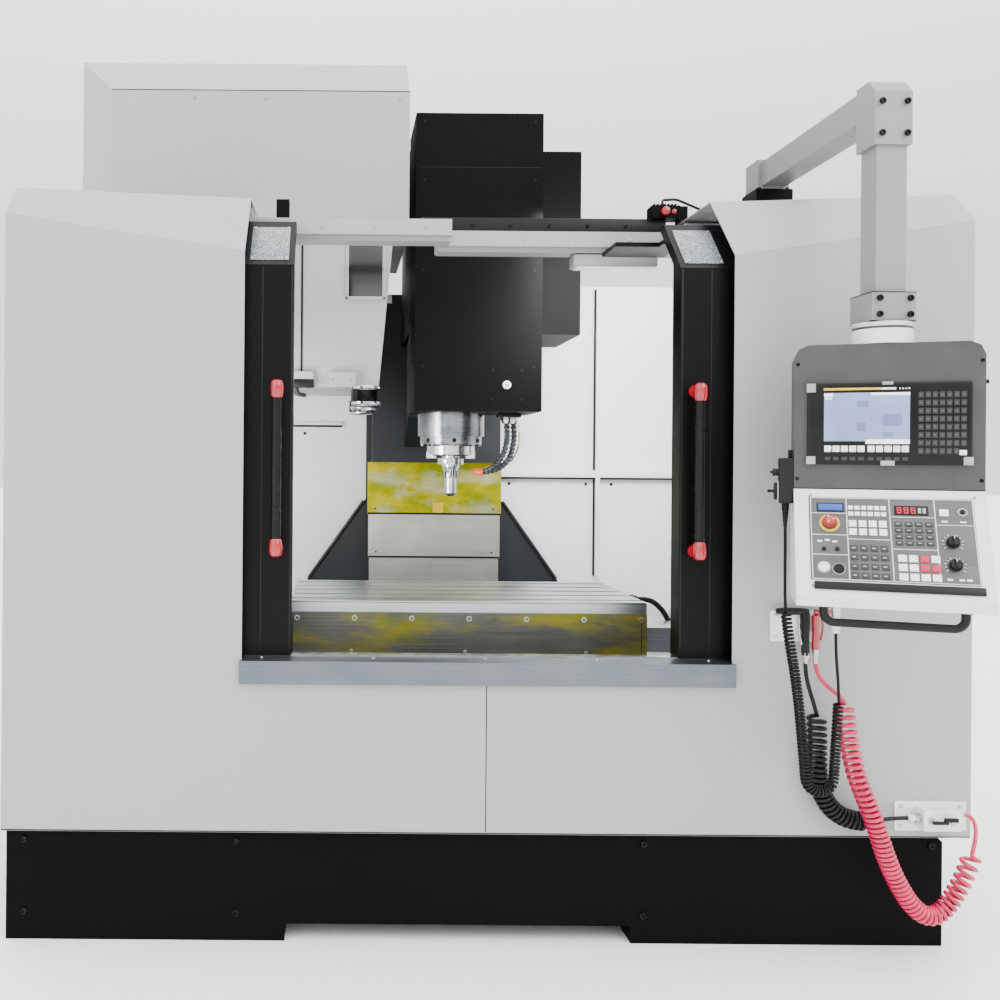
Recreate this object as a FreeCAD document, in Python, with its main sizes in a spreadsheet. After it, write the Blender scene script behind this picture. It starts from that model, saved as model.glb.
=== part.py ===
import FreeCAD, Part
import math
import os
import re

import Sketcher

# Vertical machining centre. Millimetres, +Z up, -Y towards the operator.
# The origin lies on the floor, under the middle of the bed.

doc = FreeCAD.newDocument("machining_center")
sheet = doc.addObject("Spreadsheet::Sheet", "Sizes")

SIZES = [
    # enclosure
    ("enclosure_half", 1200), ("front_reach", 1100), ("rear_reach", 450), ("skin", 3),
    ("panel_bottom", 284), ("roof_height", 1895), ("opening_half", 607),
    ("slope_rise", 175), ("slope_run", 178), ("slope_rise_outer", 85), ("roof_depth", 540),
    ("sill_half", 612), ("sill_low", 651), ("sill_high", 708), ("sill_reach", 1115),
    ("liner_half", 1130), ("liner_back", 390), ("post_size", 60),
    ("header_low", 1815), ("header_high", 1858), ("header_depth", 140), ("header_reach", 866),
    ("header_split", 69), ("header_lap", 21), ("lip_drop", 12), ("lip_depth", 90),
    # base and bed
    ("foot_height", 43), ("plinth_top", 278), ("plinth_reach", 1070), ("plinth_left", 1195),
    ("plinth_right", 1148), ("plinth_wall", 40), ("plinth_rear", 940), ("foot_depth", 120),
    ("foot_left_end", 497), ("foot_right_end", 369), ("pad_size", 300),
    ("bed_half", 490), ("bed_front", 940), ("bed_rear", 940), ("bed_top", 560), ("casting_wall", 45),
    ("tray_low", 600), ("tray_wall", 650), ("tray_skin", 3),
    # column
    ("column_half", 260), ("column_face", 353), ("column_depth", 587), ("column_top", 1850),
    ("flare_half", 485), ("flare_low", 746), ("flare_high", 1057),
    # guide rails
    ("rail_width", 35), ("rail_height", 33), ("rail_side", 185), ("run_gap", 0.3),
    ("y_rail_side", 330), ("track_width", 30), ("track_reach", 1040), ("track_half", 1190),
    # doors
    ("door_inner", 487), ("door_width", 640), ("door_reach", 1058), ("door_thick", 62),
    ("door_low", 712), ("door_bend", 1695), ("door_high", 1835), ("door_slope_thick", 30),
    ("door_skin", 3), ("window_low", 980), ("window_high", 1520), ("window_side", 110),
    ("window_inner", 190), ("glass_thick", 8), ("handle_offset", 38), ("handle_low", 962),
    ("handle_high", 1404), ("handle_radius", 13), ("cap_radius", 17), ("handle_standoff", 40),
    # saddle and table
    ("table_length", 1000), ("table_depth", 500), ("table_top", 810), ("table_thick", 80),
    ("table_reach", 750), ("slot_mouth", 18), ("slot_depth", 38), ("slot_head", 30),
    ("slot_head_height", 13), ("slot_pitch", 100), ("saddle_low", 610), ("saddle_half", 400),
    ("cover_reach", 880), ("guard_low", 650), ("guard_high", 778), ("guard_thick", 3),
    ("screw_pitch", 161), ("screw_radius", 9),
    # head
    ("spindle_reach", 250), ("cover_left", 135), ("cover_right", 261), ("cover_front", 441),
    ("cover_back", 160), ("cover_low", 1361), ("cover_high", 2288), ("box_low", 1636),
    ("box_high", 2255), ("box_right", 445), ("box_back", 230), ("head_half", 120),
    ("head_high", 1800), ("head_rear_low", 1200), ("head_rear_half", 240),
    ("housing_radius", 108.5), ("housing_low", 1286), ("flange_low", 1259), ("lug_radius", 80.5),
    ("lug_low", 1226), ("holder_radius", 42.5), ("holder_low", 1190), ("tool_radius", 20),
    ("tool_tip", 1088), ("shaft_radius", 35), ("bearing_gap", 0.05), ("bolt_count", 8),
    ("nozzle_x", 75), ("nozzle_z", 1168), ("line_x", 173), ("line_radius", 11),
    # column covers
    ("shield_half", 256), ("shield_skin", 3), ("shield_gap", 0.5), ("shield_back", 316),
    ("shield_one_low", 1000), ("shield_two_low", 834), ("shield_three_low", 700),
    ("shield_lap", 60),
    # tool changer
    ("guard_left", 1070), ("guard_left_rear", 1200), ("guard_right", 160), ("guard_front", 500),
    ("guard_shoulder", 2333), ("guard_top", 2480), ("guard_bend", 324), ("guard_back", 150),
    ("inner_left", 520), ("inner_right", 207), ("inner_taper", 42), ("inner_low", 1427),
    ("inner_depth", 420), ("arm_pivot_x", 290), ("arm_pivot_reach", 360), ("arm_half", 300),
    ("arm_low", 1372), ("arm_high", 1412), ("arm_width", 62), ("disc_radius", 225),
    ("disc_x", 700), ("disc_reach", 180), ("disc_z", 2145), ("pot_radius", 36), ("pot_count", 12),
    # pendant
    ("arm_x", 862), ("arm_base_reach", 670), ("base_size", 104), ("base_high", 1985),
    ("tube_size", 68), ("tube_z", 2028), ("pendant_reach", 1309), ("elbow_size", 84),
    ("elbow_top", 2068), ("elbow_low", 1919), ("clamp_low", 1524), ("clamp_high", 1588),
    ("clamp_size", 98), ("collar_radius", 62), ("collar_low", 1473), ("pendant_yaw", 20.8),
    ("pendant_width", 378), ("pendant_shift", 4), ("case_depth", 120), ("case_low", 1148),
    ("case_round", 30), ("console_reach", 186), ("console_low", 897), ("console_nose", 22),
    ("unit_width", 325), ("unit_height", 182), ("unit_low", 1203), ("unit_proud", 10),
    ("screen_width", 171), ("screen_height", 108), ("white_radius", 11), ("black_radius", 10),
    ("knob_radius", 13), ("stop_radius", 14), ("wheel_radius", 20), ("mpg_thick", 32),
    ("mpg_low", 1113), ("mpg_high", 1217), ("mpg_deep", 66),
    # rear and side units
    ("cabinet_width", 900), ("cabinet_depth", 300), ("cabinet_low", 320), ("cabinet_high", 1850),
    ("cabinet_left", 0), ("tank_left", 1330), ("tank_low", 51), ("tank_high", 350),
    # hoses
    ("cord_radius", 3.5), ("curl_radius", 13), ("hose_radius", 5), ("coil_radius", 25),
    ("air_radius", 5), ("air_coil_radius", 24),
]
ALIASES = set()
for row, (alias, value) in enumerate(SIZES, start=1):
    sheet.set("A%d" % row, alias)
    sheet.set("B%d" % row, str(value))
    sheet.setAlias("B%d" % row, alias)
    ALIASES.add(alias)
doc.recompute()

NODES = []


def size(alias):
    return float(getattr(sheet, alias))


def formula(text):
    return re.sub(r"[A-Za-z_]\w*",
                  lambda word: "Sizes." + word.group(0) if word.group(0) in ALIASES else word.group(0),
                  str(text))


def bind(obj, prop, text):
    obj.setExpression(prop, formula(text))


def base_at(obj, x, y, z):
    bind(obj, "Placement.Base.x", x)
    bind(obj, "Placement.Base.y", y)
    bind(obj, "Placement.Base.z", z)


def block(name, xs, ys, zs):
    """A box between two values on each axis."""
    obj = doc.addObject("Part::Box", name)
    bind(obj, "Length", "(%s)-(%s)" % (xs[1], xs[0]))
    bind(obj, "Width", "(%s)-(%s)" % (ys[1], ys[0]))
    bind(obj, "Height", "(%s)-(%s)" % (zs[1], zs[0]))
    base_at(obj, xs[0], ys[0], zs[0])
    return obj


TURN = {"z": FreeCAD.Rotation(), "x": FreeCAD.Rotation(FreeCAD.Vector(0, 1, 0), 90),
        "y": FreeCAD.Rotation(FreeCAD.Vector(1, 0, 0), -90)}


def rod(name, centre, radius, length, axis="z"):
    """A cylinder that starts at a centre and runs along +X, +Y or +Z."""
    obj = doc.addObject("Part::Cylinder", name)
    obj.Placement = FreeCAD.Placement(FreeCAD.Vector(), TURN[axis])
    bind(obj, "Radius", radius)
    bind(obj, "Height", length)
    base_at(obj, *centre)
    return obj


def cone(name, centre, low_radius, high_radius, length):
    obj = doc.addObject("Part::Cone", name)
    bind(obj, "Radius1", low_radius)
    bind(obj, "Radius2", high_radius)
    bind(obj, "Height", length)
    base_at(obj, *centre)
    return obj


def fuse(name, *shapes):
    obj = doc.addObject("Part::MultiFuse", name)
    obj.Shapes = list(shapes)
    obj.Refine = True
    return obj


def cut(name, base, *tools):
    obj = doc.addObject("Part::Cut", name)
    obj.Base = base
    obj.Tool = tools[0] if len(tools) == 1 else fuse(name + "_tools", *tools)
    return obj


def common(name, first, second):
    obj = doc.addObject("Part::Common", name)
    obj.Base = first
    obj.Tool = second
    return obj


def group(name, *shapes):
    obj = doc.addObject("Part::Compound", name)
    obj.Links = list(shapes)
    return obj


def sketch_on(body, name, role, offset, points):
    """A closed polygon on one of the body's own origin planes."""
    plane = [f for f in body.Origin.OriginFeatures if f.Role == role][0]
    sk = body.newObject("Sketcher::SketchObject", name)
    sk.AttachmentSupport = [(plane, "")]
    sk.MapMode = "FlatFace"
    bind(sk, "AttachmentOffset.Base.z", offset)
    count = len(points)
    ring = [FreeCAD.Vector(math.cos(-2 * math.pi * i / count) * 100,
                           math.sin(-2 * math.pi * i / count) * 100, 0) for i in range(count)]
    for i in range(count):
        sk.addGeometry(Part.LineSegment(ring[i], ring[(i + 1) % count]), False)
    for i in range(count):
        sk.addConstraint(Sketcher.Constraint("Coincident", i, 2, (i + 1) % count, 1))
    for i, (across, up) in enumerate(points):
        for kind, start, text in (("DistanceX", ring[i].x, across), ("DistanceY", ring[i].y, up)):
            index = sk.addConstraint(Sketcher.Constraint(kind, -1, 1, i, 1, start))
            bind(sk, "Constraints[%d]" % index, text)
    return sk


ROLE = {"x": "YZ_Plane", "y": "XZ_Plane", "z": "XY_Plane"}


def prism(name, axis, points, low, high):
    """A polygon pushed along one axis from low to high. X takes (y, z), Y takes (x, z), Z takes (x, y)."""
    body = doc.addObject("PartDesign::Body", name)
    offset = "-(%s)" % high if axis == "y" else low
    sk = sketch_on(body, name + "_outline", ROLE[axis], offset, points)
    pad = body.newObject("PartDesign::Pad", name + "_pad")
    pad.Profile = sk
    bind(pad, "Length", "(%s)-(%s)" % (high, low))
    body.Tip = pad
    return body


def loft(name, first_x, first, second_x, second):
    """A solid between two outlines that stand at two values of X."""
    body = doc.addObject("PartDesign::Body", name)
    one = sketch_on(body, name + "_one", "YZ_Plane", first_x, first)
    two = sketch_on(body, name + "_two", "YZ_Plane", second_x, second)
    add = body.newObject("PartDesign::AdditiveLoft", name + "_loft")
    add.Profile = one
    add.Sections = [two]
    add.Ruled = True
    body.Tip = add
    return body


def node(name, obj):
    obj.Label = name
    NODES.append((name, obj))
    return obj


def shape_node(name, shape):
    obj = doc.addObject("Part::Feature", name)
    obj.Shape = shape
    return node(name, obj)


# ---------------------------------------------------------------- base and bed
plinth_outline = [("-plinth_left", "foot_height"), ("plinth_right", "foot_height"),
                  ("plinth_right", "plinth_top-18"), ("plinth_right-18", "plinth_top"),
                  ("-plinth_left", "plinth_top")]
plinth = prism("plinth_block", "y", plinth_outline, "-plinth_reach", "plinth_rear")
plinth_inside = block("plinth_inside", ("-plinth_left+plinth_wall", "plinth_right-plinth_wall"),
                      ("-plinth_reach+plinth_wall", "plinth_rear-plinth_wall"),
                      ("foot_height-1", "plinth_top+1"))
node("base_frame", cut("base_frame_cut", plinth, plinth_inside))

feet = [
    block("foot_front_left", ("-plinth_left", "-foot_left_end"), ("-plinth_reach", "-plinth_reach+foot_depth"),
          ("0", "foot_height")),
    block("foot_front_right", ("foot_right_end", "plinth_right"), ("-plinth_reach", "-plinth_reach+foot_depth"),
          ("0", "foot_height")),
    block("foot_rear_left", ("-plinth_left", "-foot_left_end"), ("plinth_rear-foot_depth", "plinth_rear"),
          ("0", "foot_height")),
    block("foot_rear_right", ("foot_right_end", "plinth_right"), ("plinth_rear-foot_depth", "plinth_rear"),
          ("0", "foot_height")),
    block("foot_middle", ("-pad_size/2", "pad_size/2"), ("-pad_size/2", "pad_size/2"), ("0", "foot_height")),
]
node("foot_blocks", group("foot_group", *feet))

bed_block = block("bed_block", ("-bed_half", "bed_half"), ("-bed_front", "bed_rear-plinth_wall-0.5"),
                  ("foot_height", "bed_top"))
bed_front_hollow = block("bed_front_hollow", ("-bed_half+casting_wall", "bed_half-casting_wall"),
                         ("-bed_front+casting_wall", "-pad_size/2-casting_wall"),
                         ("foot_height-1", "bed_top-casting_wall"))
bed_rear_hollow = block("bed_rear_hollow", ("-bed_half+casting_wall", "bed_half-casting_wall"),
                        ("pad_size/2+casting_wall", "bed_rear-plinth_wall-casting_wall"),
                        ("foot_height-1", "bed_top-casting_wall"))
node("machine_bed", cut("machine_bed_cut", bed_block, bed_front_hollow, bed_rear_hollow))

# ---------------------------------------------------------------- column
column_outline = [("-flare_half", "bed_top"), ("flare_half", "bed_top"), ("flare_half", "flare_low"),
                  ("column_half", "flare_high"), ("column_half", "column_top"),
                  ("-column_half", "column_top"), ("-column_half", "flare_high"), ("-flare_half", "flare_low")]
column_rear = "min(column_face+column_depth;bed_rear-plinth_wall-0.5)"
column_block = prism("column_block", "y", column_outline, "column_face", column_rear)
column_hollow = block("column_hollow", ("-column_half+casting_wall", "column_half-casting_wall"),
                      ("column_face+casting_wall", column_rear + "+1"),
                      ("bed_top+casting_wall", "column_top-casting_wall"))
node("column", cut("column_cut", column_block, column_hollow))

# ---------------------------------------------------------------- guide rails
rails = []
for side, sign in (("left", -1), ("right", 1)):
    middle = "%d*y_rail_side" % sign
    rails.append(block("y_rail_" + side, (middle + "-rail_width/2", middle + "+rail_width/2"),
                       ("-bed_front+40", "column_face-1"), ("bed_top", "bed_top+rail_height")))
    middle = "%d*rail_side" % sign
    rails.append(block("z_rail_" + side, (middle + "-rail_width/2", middle + "+rail_width/2"),
                       ("column_face-rail_height", "column_face"), ("flare_high+10", "column_top-5")))
rails.append(block("door_track", ("-track_half", "track_half"), ("-track_reach", "-track_reach+track_width"),
                   ("sill_low+10", "door_low-run_gap")))
node("guide_rails", group("rail_group", *rails))

# ---------------------------------------------------------------- enclosure
slope_outer_run = "slope_rise_outer*slope_run/slope_rise"


def cover_outline(inner, rise, run, back):
    """Outline of a front cover in (y, z); inner is the sheet thickness taken off."""
    return [("-front_reach+%s" % inner, "panel_bottom-1" if inner != "0" else "panel_bottom"),
            ("-front_reach+%s" % inner, "roof_height-%s-0.414*%s" % (rise, inner)),
            ("-front_reach+(%s)+0.414*%s" % (run, inner), "roof_height-%s" % inner),
            (back, "roof_height-%s" % inner),
            (back, "panel_bottom-1" if inner != "0" else "panel_bottom")]


for side, sign in (("left", -1), ("right", 1)):
    outer_x, inner_x = "%d*enclosure_half" % sign, "%d*opening_half" % sign
    low_x, high_x = ((outer_x, inner_x) if sign < 0 else (inner_x, outer_x))
    big, small = ("slope_rise_outer", slope_outer_run), ("slope_rise", "slope_run")
    back = "-front_reach+roof_depth"
    rise_low, rise_high = (big, small) if sign < 0 else (small, big)
    outer = loft(side + "_cover_solid", low_x, cover_outline("0", rise_low[0], rise_low[1], back),
                 high_x, cover_outline("0", rise_high[0], rise_high[1], back))
    room_low = "%s+skin" % low_x if sign < 0 else "%s-1" % low_x
    room_high = "%s+1" % high_x if sign < 0 else "%s-skin" % high_x
    room = loft(side + "_cover_room", room_low,
                cover_outline("skin", rise_low[0], rise_low[1], back + "+1"),
                room_high, cover_outline("skin", rise_high[0], rise_high[1], back + "+1"))
    corner = cut(side + "_corner", outer, room)
    wall = block(side + "_wall", ("%s-(%d)*0" % (outer_x, sign), "%s+skin" % outer_x) if sign < 0
                 else ("%s-skin" % outer_x, outer_x), (back, "rear_reach"), ("panel_bottom", "roof_height"))
    low, high = ("%s" % inner_x, "0") if sign < 0 else ("0", "%s" % inner_x)
    apron = block(side + "_apron", (low, high), ("-front_reach", "-front_reach+skin"),
                  ("panel_bottom", "sill_low"))
    foot = block(side + "_foot", (low_x, "0") if sign < 0 else ("0", "min(plinth_right;enclosure_half)"),
                 ("-front_reach", "-plinth_reach+plinth_wall"), ("plinth_top", "panel_bottom"))
    trimmed = block(side + "_foot_trim", ("%s" % low_x, "0") if sign < 0 else ("0", high_x),
                    ("-front_reach-1", "-plinth_reach"), ("plinth_top-1", "panel_bottom-skin"))
    node(side + "_cover", fuse(side + "_cover_fuse", corner, wall, apron,
                               cut(side + "_foot_cut", foot, trimmed)))

sill_block = fuse("sill_block", block("sill_front", ("-sill_half", "sill_half"), ("-sill_reach", "-front_reach"),
                                      ("sill_low", "sill_high")),
                  block("sill_rear", ("-opening_half", "opening_half"), ("-front_reach", "-track_reach"),
                        ("sill_low", "sill_high")))
sill_under = block("sill_under", ("-opening_half+skin", "opening_half-skin"),
                   ("-front_reach+skin", "-track_reach-skin"), ("sill_low-1", "sill_high-skin"))
node("sill", cut("sill_cut", sill_block, sill_under))

liner_parts = []
for side, sign in (("left", -1), ("right", 1)):
    inner = "%d*liner_half" % sign
    outer = "%d*(liner_half+tray_skin)" % sign
    low, high = (outer, inner) if sign < 0 else (inner, outer)
    liner_parts.append(block(side + "_liner", (low, high), ("-track_reach+track_width", "liner_back"),
                             ("tray_low", "roof_height-skin-8")))
    flare = "%d*(flare_half+0.5)" % sign
    neck = "%d*(column_half+0.5)" % sign
    points = [(flare, "tray_low"), (outer, "tray_low"), (outer, "roof_height-skin"),
              (neck, "roof_height-skin"), (neck, "flare_high+0.5"), (flare, "flare_low+0.5")]
    if sign < 0:
        step = neck + "-91"
        points[3:4] = [(step, "roof_height-skin"), (step, "roof_height-201"), (neck, "roof_height-201")]
        points = points[::-1]
    liner_parts.append(prism(side + "_back_liner", "y", points, "liner_back", "liner_back+tray_skin"))
    post_low, post_high = ("-enclosure_half+skin", "-liner_half-tray_skin") if sign < 0 else \
        ("liner_half+tray_skin", "enclosure_half-skin")
    for index, at in enumerate(("-front_reach+roof_depth-post_size", "rear_reach-post_size")):
        liner_parts.append(block("%s_post_%d" % (side, index), (post_low, post_high),
                                 (at, at + "+post_size"), ("panel_bottom", "roof_height-skin")))
node("chamber_liner", group("liner_group", *liner_parts))

tray = block("tray_plate", ("-liner_half-tray_skin", "liner_half+tray_skin"),
             ("-track_reach+track_width", "liner_back+tray_skin"), ("tray_low-tray_skin", "tray_low"))
tray_hole = block("tray_hole", ("-bed_half-0.5", "bed_half+0.5"), ("-bed_front-0.5", "liner_back+50"),
                  ("tray_low-20", "tray_low+1"))
tray_front = block("tray_front", ("-liner_half+0.5", "liner_half-0.5"),
                   ("-track_reach+track_width", "-track_reach+track_width+tray_skin"),
                   ("tray_low", "tray_wall+30"))
tray_lip_left = block("tray_lip_left", ("-bed_half-0.5-tray_skin", "-bed_half-0.5"),
                      ("-bed_front-0.5", "liner_back"), ("bed_top", "tray_low+20"))
tray_lip_right = block("tray_lip_right", ("bed_half+0.5", "bed_half+0.5+tray_skin"),
                       ("-bed_front-0.5", "liner_back"), ("bed_top", "tray_low+20"))
tray_lip_front = block("tray_lip_front", ("-bed_half-0.5-tray_skin", "bed_half+0.5+tray_skin"),
                       ("-bed_front-0.5-tray_skin", "-bed_front-0.5"), ("bed_top", "tray_low+20"))
node("chip_tray", fuse("tray_fuse", cut("tray_cut", tray, tray_hole), tray_front, tray_lip_left,
                       tray_lip_right, tray_lip_front))

beams = []
for side, low, high, reach in (
        ("left", "-opening_half", "-header_split", "header_reach"),
        ("right", "-header_split-header_lap", "opening_half", "header_reach-header_depth")):
    beam = block(side + "_header_beam", (low, high), ("-(%s)" % reach, "-(%s)+header_depth" % reach),
                 ("header_low", "header_high"))
    lip = block(side + "_header_lip", (low, high), ("-(%s)+25" % reach, "-(%s)+lip_depth" % reach),
                ("header_low-lip_drop", "header_low"))
    end_x = "%d*opening_half" % (-1 if side == "left" else 1)
    out_x = "%d*liner_half" % (-1 if side == "left" else 1)
    arm_xs = (out_x, end_x) if side == "left" else (end_x, out_x)
    stub = block(side + "_header_arm", arm_xs, ("-(%s)" % reach, "-(%s)+header_depth" % reach),
                 ("header_low+10", "roof_height-skin-8"))
    beams.append(fuse(side + "_header", beam, lip, stub))
beams.append(block("header_rail", ("-cover_left", "565"), ("-header_reach+header_depth+40",
                   "-header_reach+header_depth+70"), ("header_high", "header_high+46")))
node("header_beams", group("header_group", *beams))

# pendant foot on the roof, door interlock and stop block
base_x = "arm_x"
fittings = [
    block("pendant_foot", (base_x + "-base_size/2", base_x + "+base_size/2"),
          ("-arm_base_reach-base_size/2", "-arm_base_reach+base_size/2"), ("roof_height", "base_high")),
    fuse("interlock", block("interlock_body", ("522", "600"), ("-header_reach+header_depth+20",
                            "-header_reach+header_depth+80"), ("header_high+46", "header_high+82")),
         block("interlock_nose", ("600", "625"), ("-header_reach+header_depth+30",
               "-header_reach+header_depth+70"), ("roof_height", "header_high+82"))),
    block("stop_block", ("-545", "-510"), ("-header_reach+20", "-header_reach+60"),
          ("header_high", "header_high+55")),
]
node("roof_fittings", group("fittings_group", *fittings))

# ---------------------------------------------------------------- doors
slope_drop = "door_slope_thick*1.41421"
slant_run = "door_high-door_bend"
knee = "door_bend+door_reach-(%s)-(door_reach-door_thick)" % slope_drop


def door_outline(trim, low, high):
    """Door side outline in (y, z), with the skin thickness taken off where trim is set."""
    return [("-door_reach+%s" % trim, low), ("-door_reach+%s" % trim, "door_bend-0.414*%s" % trim),
            ("-door_reach+(%s)+0.414*%s" % (slant_run, trim), "door_high-%s" % trim),
            ("-door_reach+(%s)+%s-0.414*%s" % (slant_run, slope_drop, trim), "door_high-%s" % trim),
            ("-door_reach+door_thick-%s" % trim, "%s-0.414*%s" % (knee, trim)),
            ("-door_reach+door_thick-%s" % trim, low)]


for side, sign in (("left", -1), ("right", 1)):
    near, far = "%d*door_inner" % sign, "%d*(door_inner+door_width)" % sign
    low, high = (far, near) if sign < 0 else (near, far)
    body = prism(side + "_door_solid", "x", door_outline("0", "door_low", "door_high"), low, high)
    room = block(side + "_door_room", ("%s+40" % low, "%s-40" % high),
                 ("-door_reach+door_skin", "-door_reach+door_thick+1"), ("door_low+40", "door_bend-60"))
    wn, wf = "%d*(door_inner+window_inner)" % sign, "%d*(door_inner+door_width-window_side)" % sign
    wlow, whigh = (wf, wn) if sign < 0 else (wn, wf)
    hole = block(side + "_door_hole", (wlow, whigh), ("-door_reach-1", "-door_reach+door_skin+1"),
                 ("window_low", "window_high"))
    door = cut(side + "_door_cut", body, room, hole)
    if sign > 0:
        hanger = block("hanger_plate", ("371", "545"), ("-door_reach+(%s)+%s" % (slant_run, slope_drop),
                       "-header_reach+header_depth-6"), ("header_low-30", "header_low-18"))
        hanger_foot = block("hanger_foot", ("door_inner", "545"),
                            ("-door_reach+(%s)+%s" % (slant_run, slope_drop) + "-40",
                             "-door_reach+(%s)+%s" % (slant_run, slope_drop) + "+30"),
                            ("header_low-30", "header_low-18"))
        door = fuse("right_door_fuse", door, hanger, hanger_foot)
    node(side + "_door", door)
    node(side + "_door_window", block(side + "_pane", ("%s-20" % wlow, "%s+20" % whigh),
                                      ("-door_reach+door_skin", "-door_reach+door_skin+glass_thick"),
                                      ("window_low-20", "window_high+20")))
    hx = "%d*(door_inner+handle_offset)" % sign
    hy = "-door_reach-handle_standoff"
    bar = rod(side + "_bar", (hx, hy, "handle_low+10"), "handle_radius", "handle_high-handle_low-20")
    caps = []
    for tag, at in (("low", "handle_low+cap_radius"), ("high", "handle_high-cap_radius")):
        leg = rod("%s_leg_%s" % (side, tag), (hx, hy, at), "cap_radius", "handle_standoff", "y")
        ball = doc.addObject("Part::Sphere", "%s_ball_%s" % (side, tag))
        bind(ball, "Radius", "cap_radius")
        base_at(ball, hx, hy, at)
        caps += [leg, ball]
    node(side + "_handle", fuse(side + "_handle_fuse", bar, *caps))

# ---------------------------------------------------------------- saddle and table
rail_top = "bed_top+rail_height+run_gap"
saddle_front, saddle_back = "-table_reach+15", "-table_reach+table_depth-15"
x_rail_top = "table_top-table_thick-run_gap"
saddle_parts = [
    block("saddle_block", ("-saddle_half", "saddle_half"), (saddle_front, saddle_back),
          (rail_top, x_rail_top + "-rail_height")),
    block("x_rail_front", ("-cover_reach", "cover_reach"), (saddle_front + "+60", saddle_front + "+60+rail_width"),
          (x_rail_top + "-rail_height", x_rail_top)),
    block("x_rail_rear", ("-cover_reach", "cover_reach"), (saddle_back + "-60-rail_width", saddle_back + "-60"),
          (x_rail_top + "-rail_height", x_rail_top)),
    block("x_wing", ("-cover_reach", "cover_reach"), (saddle_front, saddle_back),
          (x_rail_top + "-rail_height-14", x_rail_top + "-rail_height")),
]
node("saddle", fuse("saddle_fuse", *saddle_parts))

guard = block("guard_plate", ("-table_length/2", "table_length/2"), (saddle_front + "-guard_thick", saddle_front),
              ("guard_low", "table_top-table_thick-1"))
guard_face = block("guard_face", ("-table_length/2", "table_length/2"),
                   ("-table_reach-2-guard_thick", "-table_reach-2"), ("guard_low", "guard_high"))
guard_fold = block("guard_fold", ("-table_length/2", "table_length/2"), ("-table_reach-2", saddle_front),
                   ("guard_low", "guard_low+guard_thick"))
guard_parts = [fuse("guard_fuse", guard, guard_face, guard_fold)]
for index in range(7):
    guard_parts.append(rod("guard_screw_%d" % index, ("(%d)*screw_pitch" % (index - 3),
                           "-table_reach-2-guard_thick-3", "guard_high-16"), "screw_radius", "3", "y"))
node("saddle_guard", group("guard_group", *guard_parts))

slab = block("slab", ("-table_length/2", "table_length/2"), ("-table_reach", "-table_reach+table_depth"),
             ("table_top-table_thick", "table_top"))
slots = []
for index in range(-2, 3):
    middle = "-table_reach+table_depth/2+(%d)*slot_pitch" % index
    slots.append(block("slot_%d" % (index + 2), ("-table_length/2-1", "table_length/2+1"),
                       (middle + "-slot_mouth/2", middle + "+slot_mouth/2"), ("table_top-slot_depth", "table_top+1")))
    slots.append(block("slot_head_%d" % (index + 2), ("-table_length/2-1", "table_length/2+1"),
                       (middle + "-slot_head/2", middle + "+slot_head/2"),
                       ("table_top-slot_depth", "table_top-slot_depth+slot_head_height")))
node("table", cut("table_cut", slab, *slots))

skirts = []
for side, sign in (("left", -1), ("right", 1)):
    near, far = "%d*table_length/2" % sign, "%d*(table_length/2+180)" % sign
    low, high = (far, near) if sign < 0 else (near, far)
    skirts.append(block(side + "_skirt", (low, high), (saddle_front + "+6", saddle_back + "-6"),
                        ("table_top-table_thick+6", "table_top-table_thick+9")))
    front_low = block(side + "_skirt_front", (low, high), (saddle_front + "-9", saddle_front + "-6"),
                      ("guard_low+20", "table_top-table_thick+9"))
    top_front = block(side + "_skirt_join", (low, high), (saddle_front + "-9", saddle_front + "+6"),
                      ("table_top-table_thick+6", "table_top-table_thick+9"))
    skirts[-1] = fuse(side + "_skirt_fuse", skirts[-1], front_low, top_front)
node("table_covers", group("skirt_group", *skirts))

# ---------------------------------------------------------------- head
head_rear = "column_face-rail_height-run_gap"
head_arm = block("head_arm", ("-head_half", "head_half"), ("-cover_front+30", head_rear),
                 ("cover_low+4", "head_high"))
head_rear_plate = block("head_rear_plate", ("-head_rear_half", "head_rear_half"), (head_rear + "-70", head_rear),
                        ("head_rear_low", "head_high"))
head_bore = rod("head_bore", ("0", "-spindle_reach", "cover_low"), "shaft_radius+bearing_gap+12", "240")
head_core = block("head_core", ("-head_half+casting_wall", "head_half-casting_wall"),
                  ("-spindle_reach+140", "60"), ("cover_low+60", "head_high+1"))
head_gusset = prism("head_gusset", "x", [("60", "cover_low+5"), (head_rear + "-5", "head_rear_low+20"),
                                         (head_rear + "-5", "cover_low+5")], "-head_half", "head_half")
node("head_casting", cut("head_cut", fuse("head_fuse", head_arm, head_rear_plate, head_gusset),
                         head_bore, head_core))

cover_solid = block("head_cover_solid", ("-cover_left", "cover_right"), ("-cover_front", "-cover_back"),
                    ("cover_low", "cover_high"))
cover_room = block("head_cover_room", ("-cover_left+skin", "cover_right-skin"),
                   ("-cover_front+skin", "-cover_back+1"), ("cover_low+skin", "cover_high-skin"))
cover_hole = rod("head_cover_hole", ("0", "-spindle_reach", "cover_low-1"), "shaft_radius+bearing_gap+12", "6")
node("head_cover", cut("head_cover_cut", cover_solid, cover_room, cover_hole))

box_solid = block("side_box_solid", ("-cover_left", "box_right"), ("-cover_back", "box_back"),
                  ("box_low", "box_high"))
box_room = block("side_box_room", ("-cover_left+skin", "box_right-skin"), ("-cover_back-1", "box_back-skin"),
                 ("box_low+skin", "box_high-skin"))
box_slot = block("side_box_slot", ("-head_half-1", "head_half+1"), ("-cover_back-1", "box_back+1"),
                 ("box_low-1", "head_high+1"))
box_front = block("side_box_front", ("cover_right", "box_right"), ("-cover_back", "-cover_back+skin"),
                  ("box_low", "box_high"))
node("head_side_box", fuse("side_box_fuse", cut("side_box_cut", box_solid, box_room, box_slot), box_front))

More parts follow.
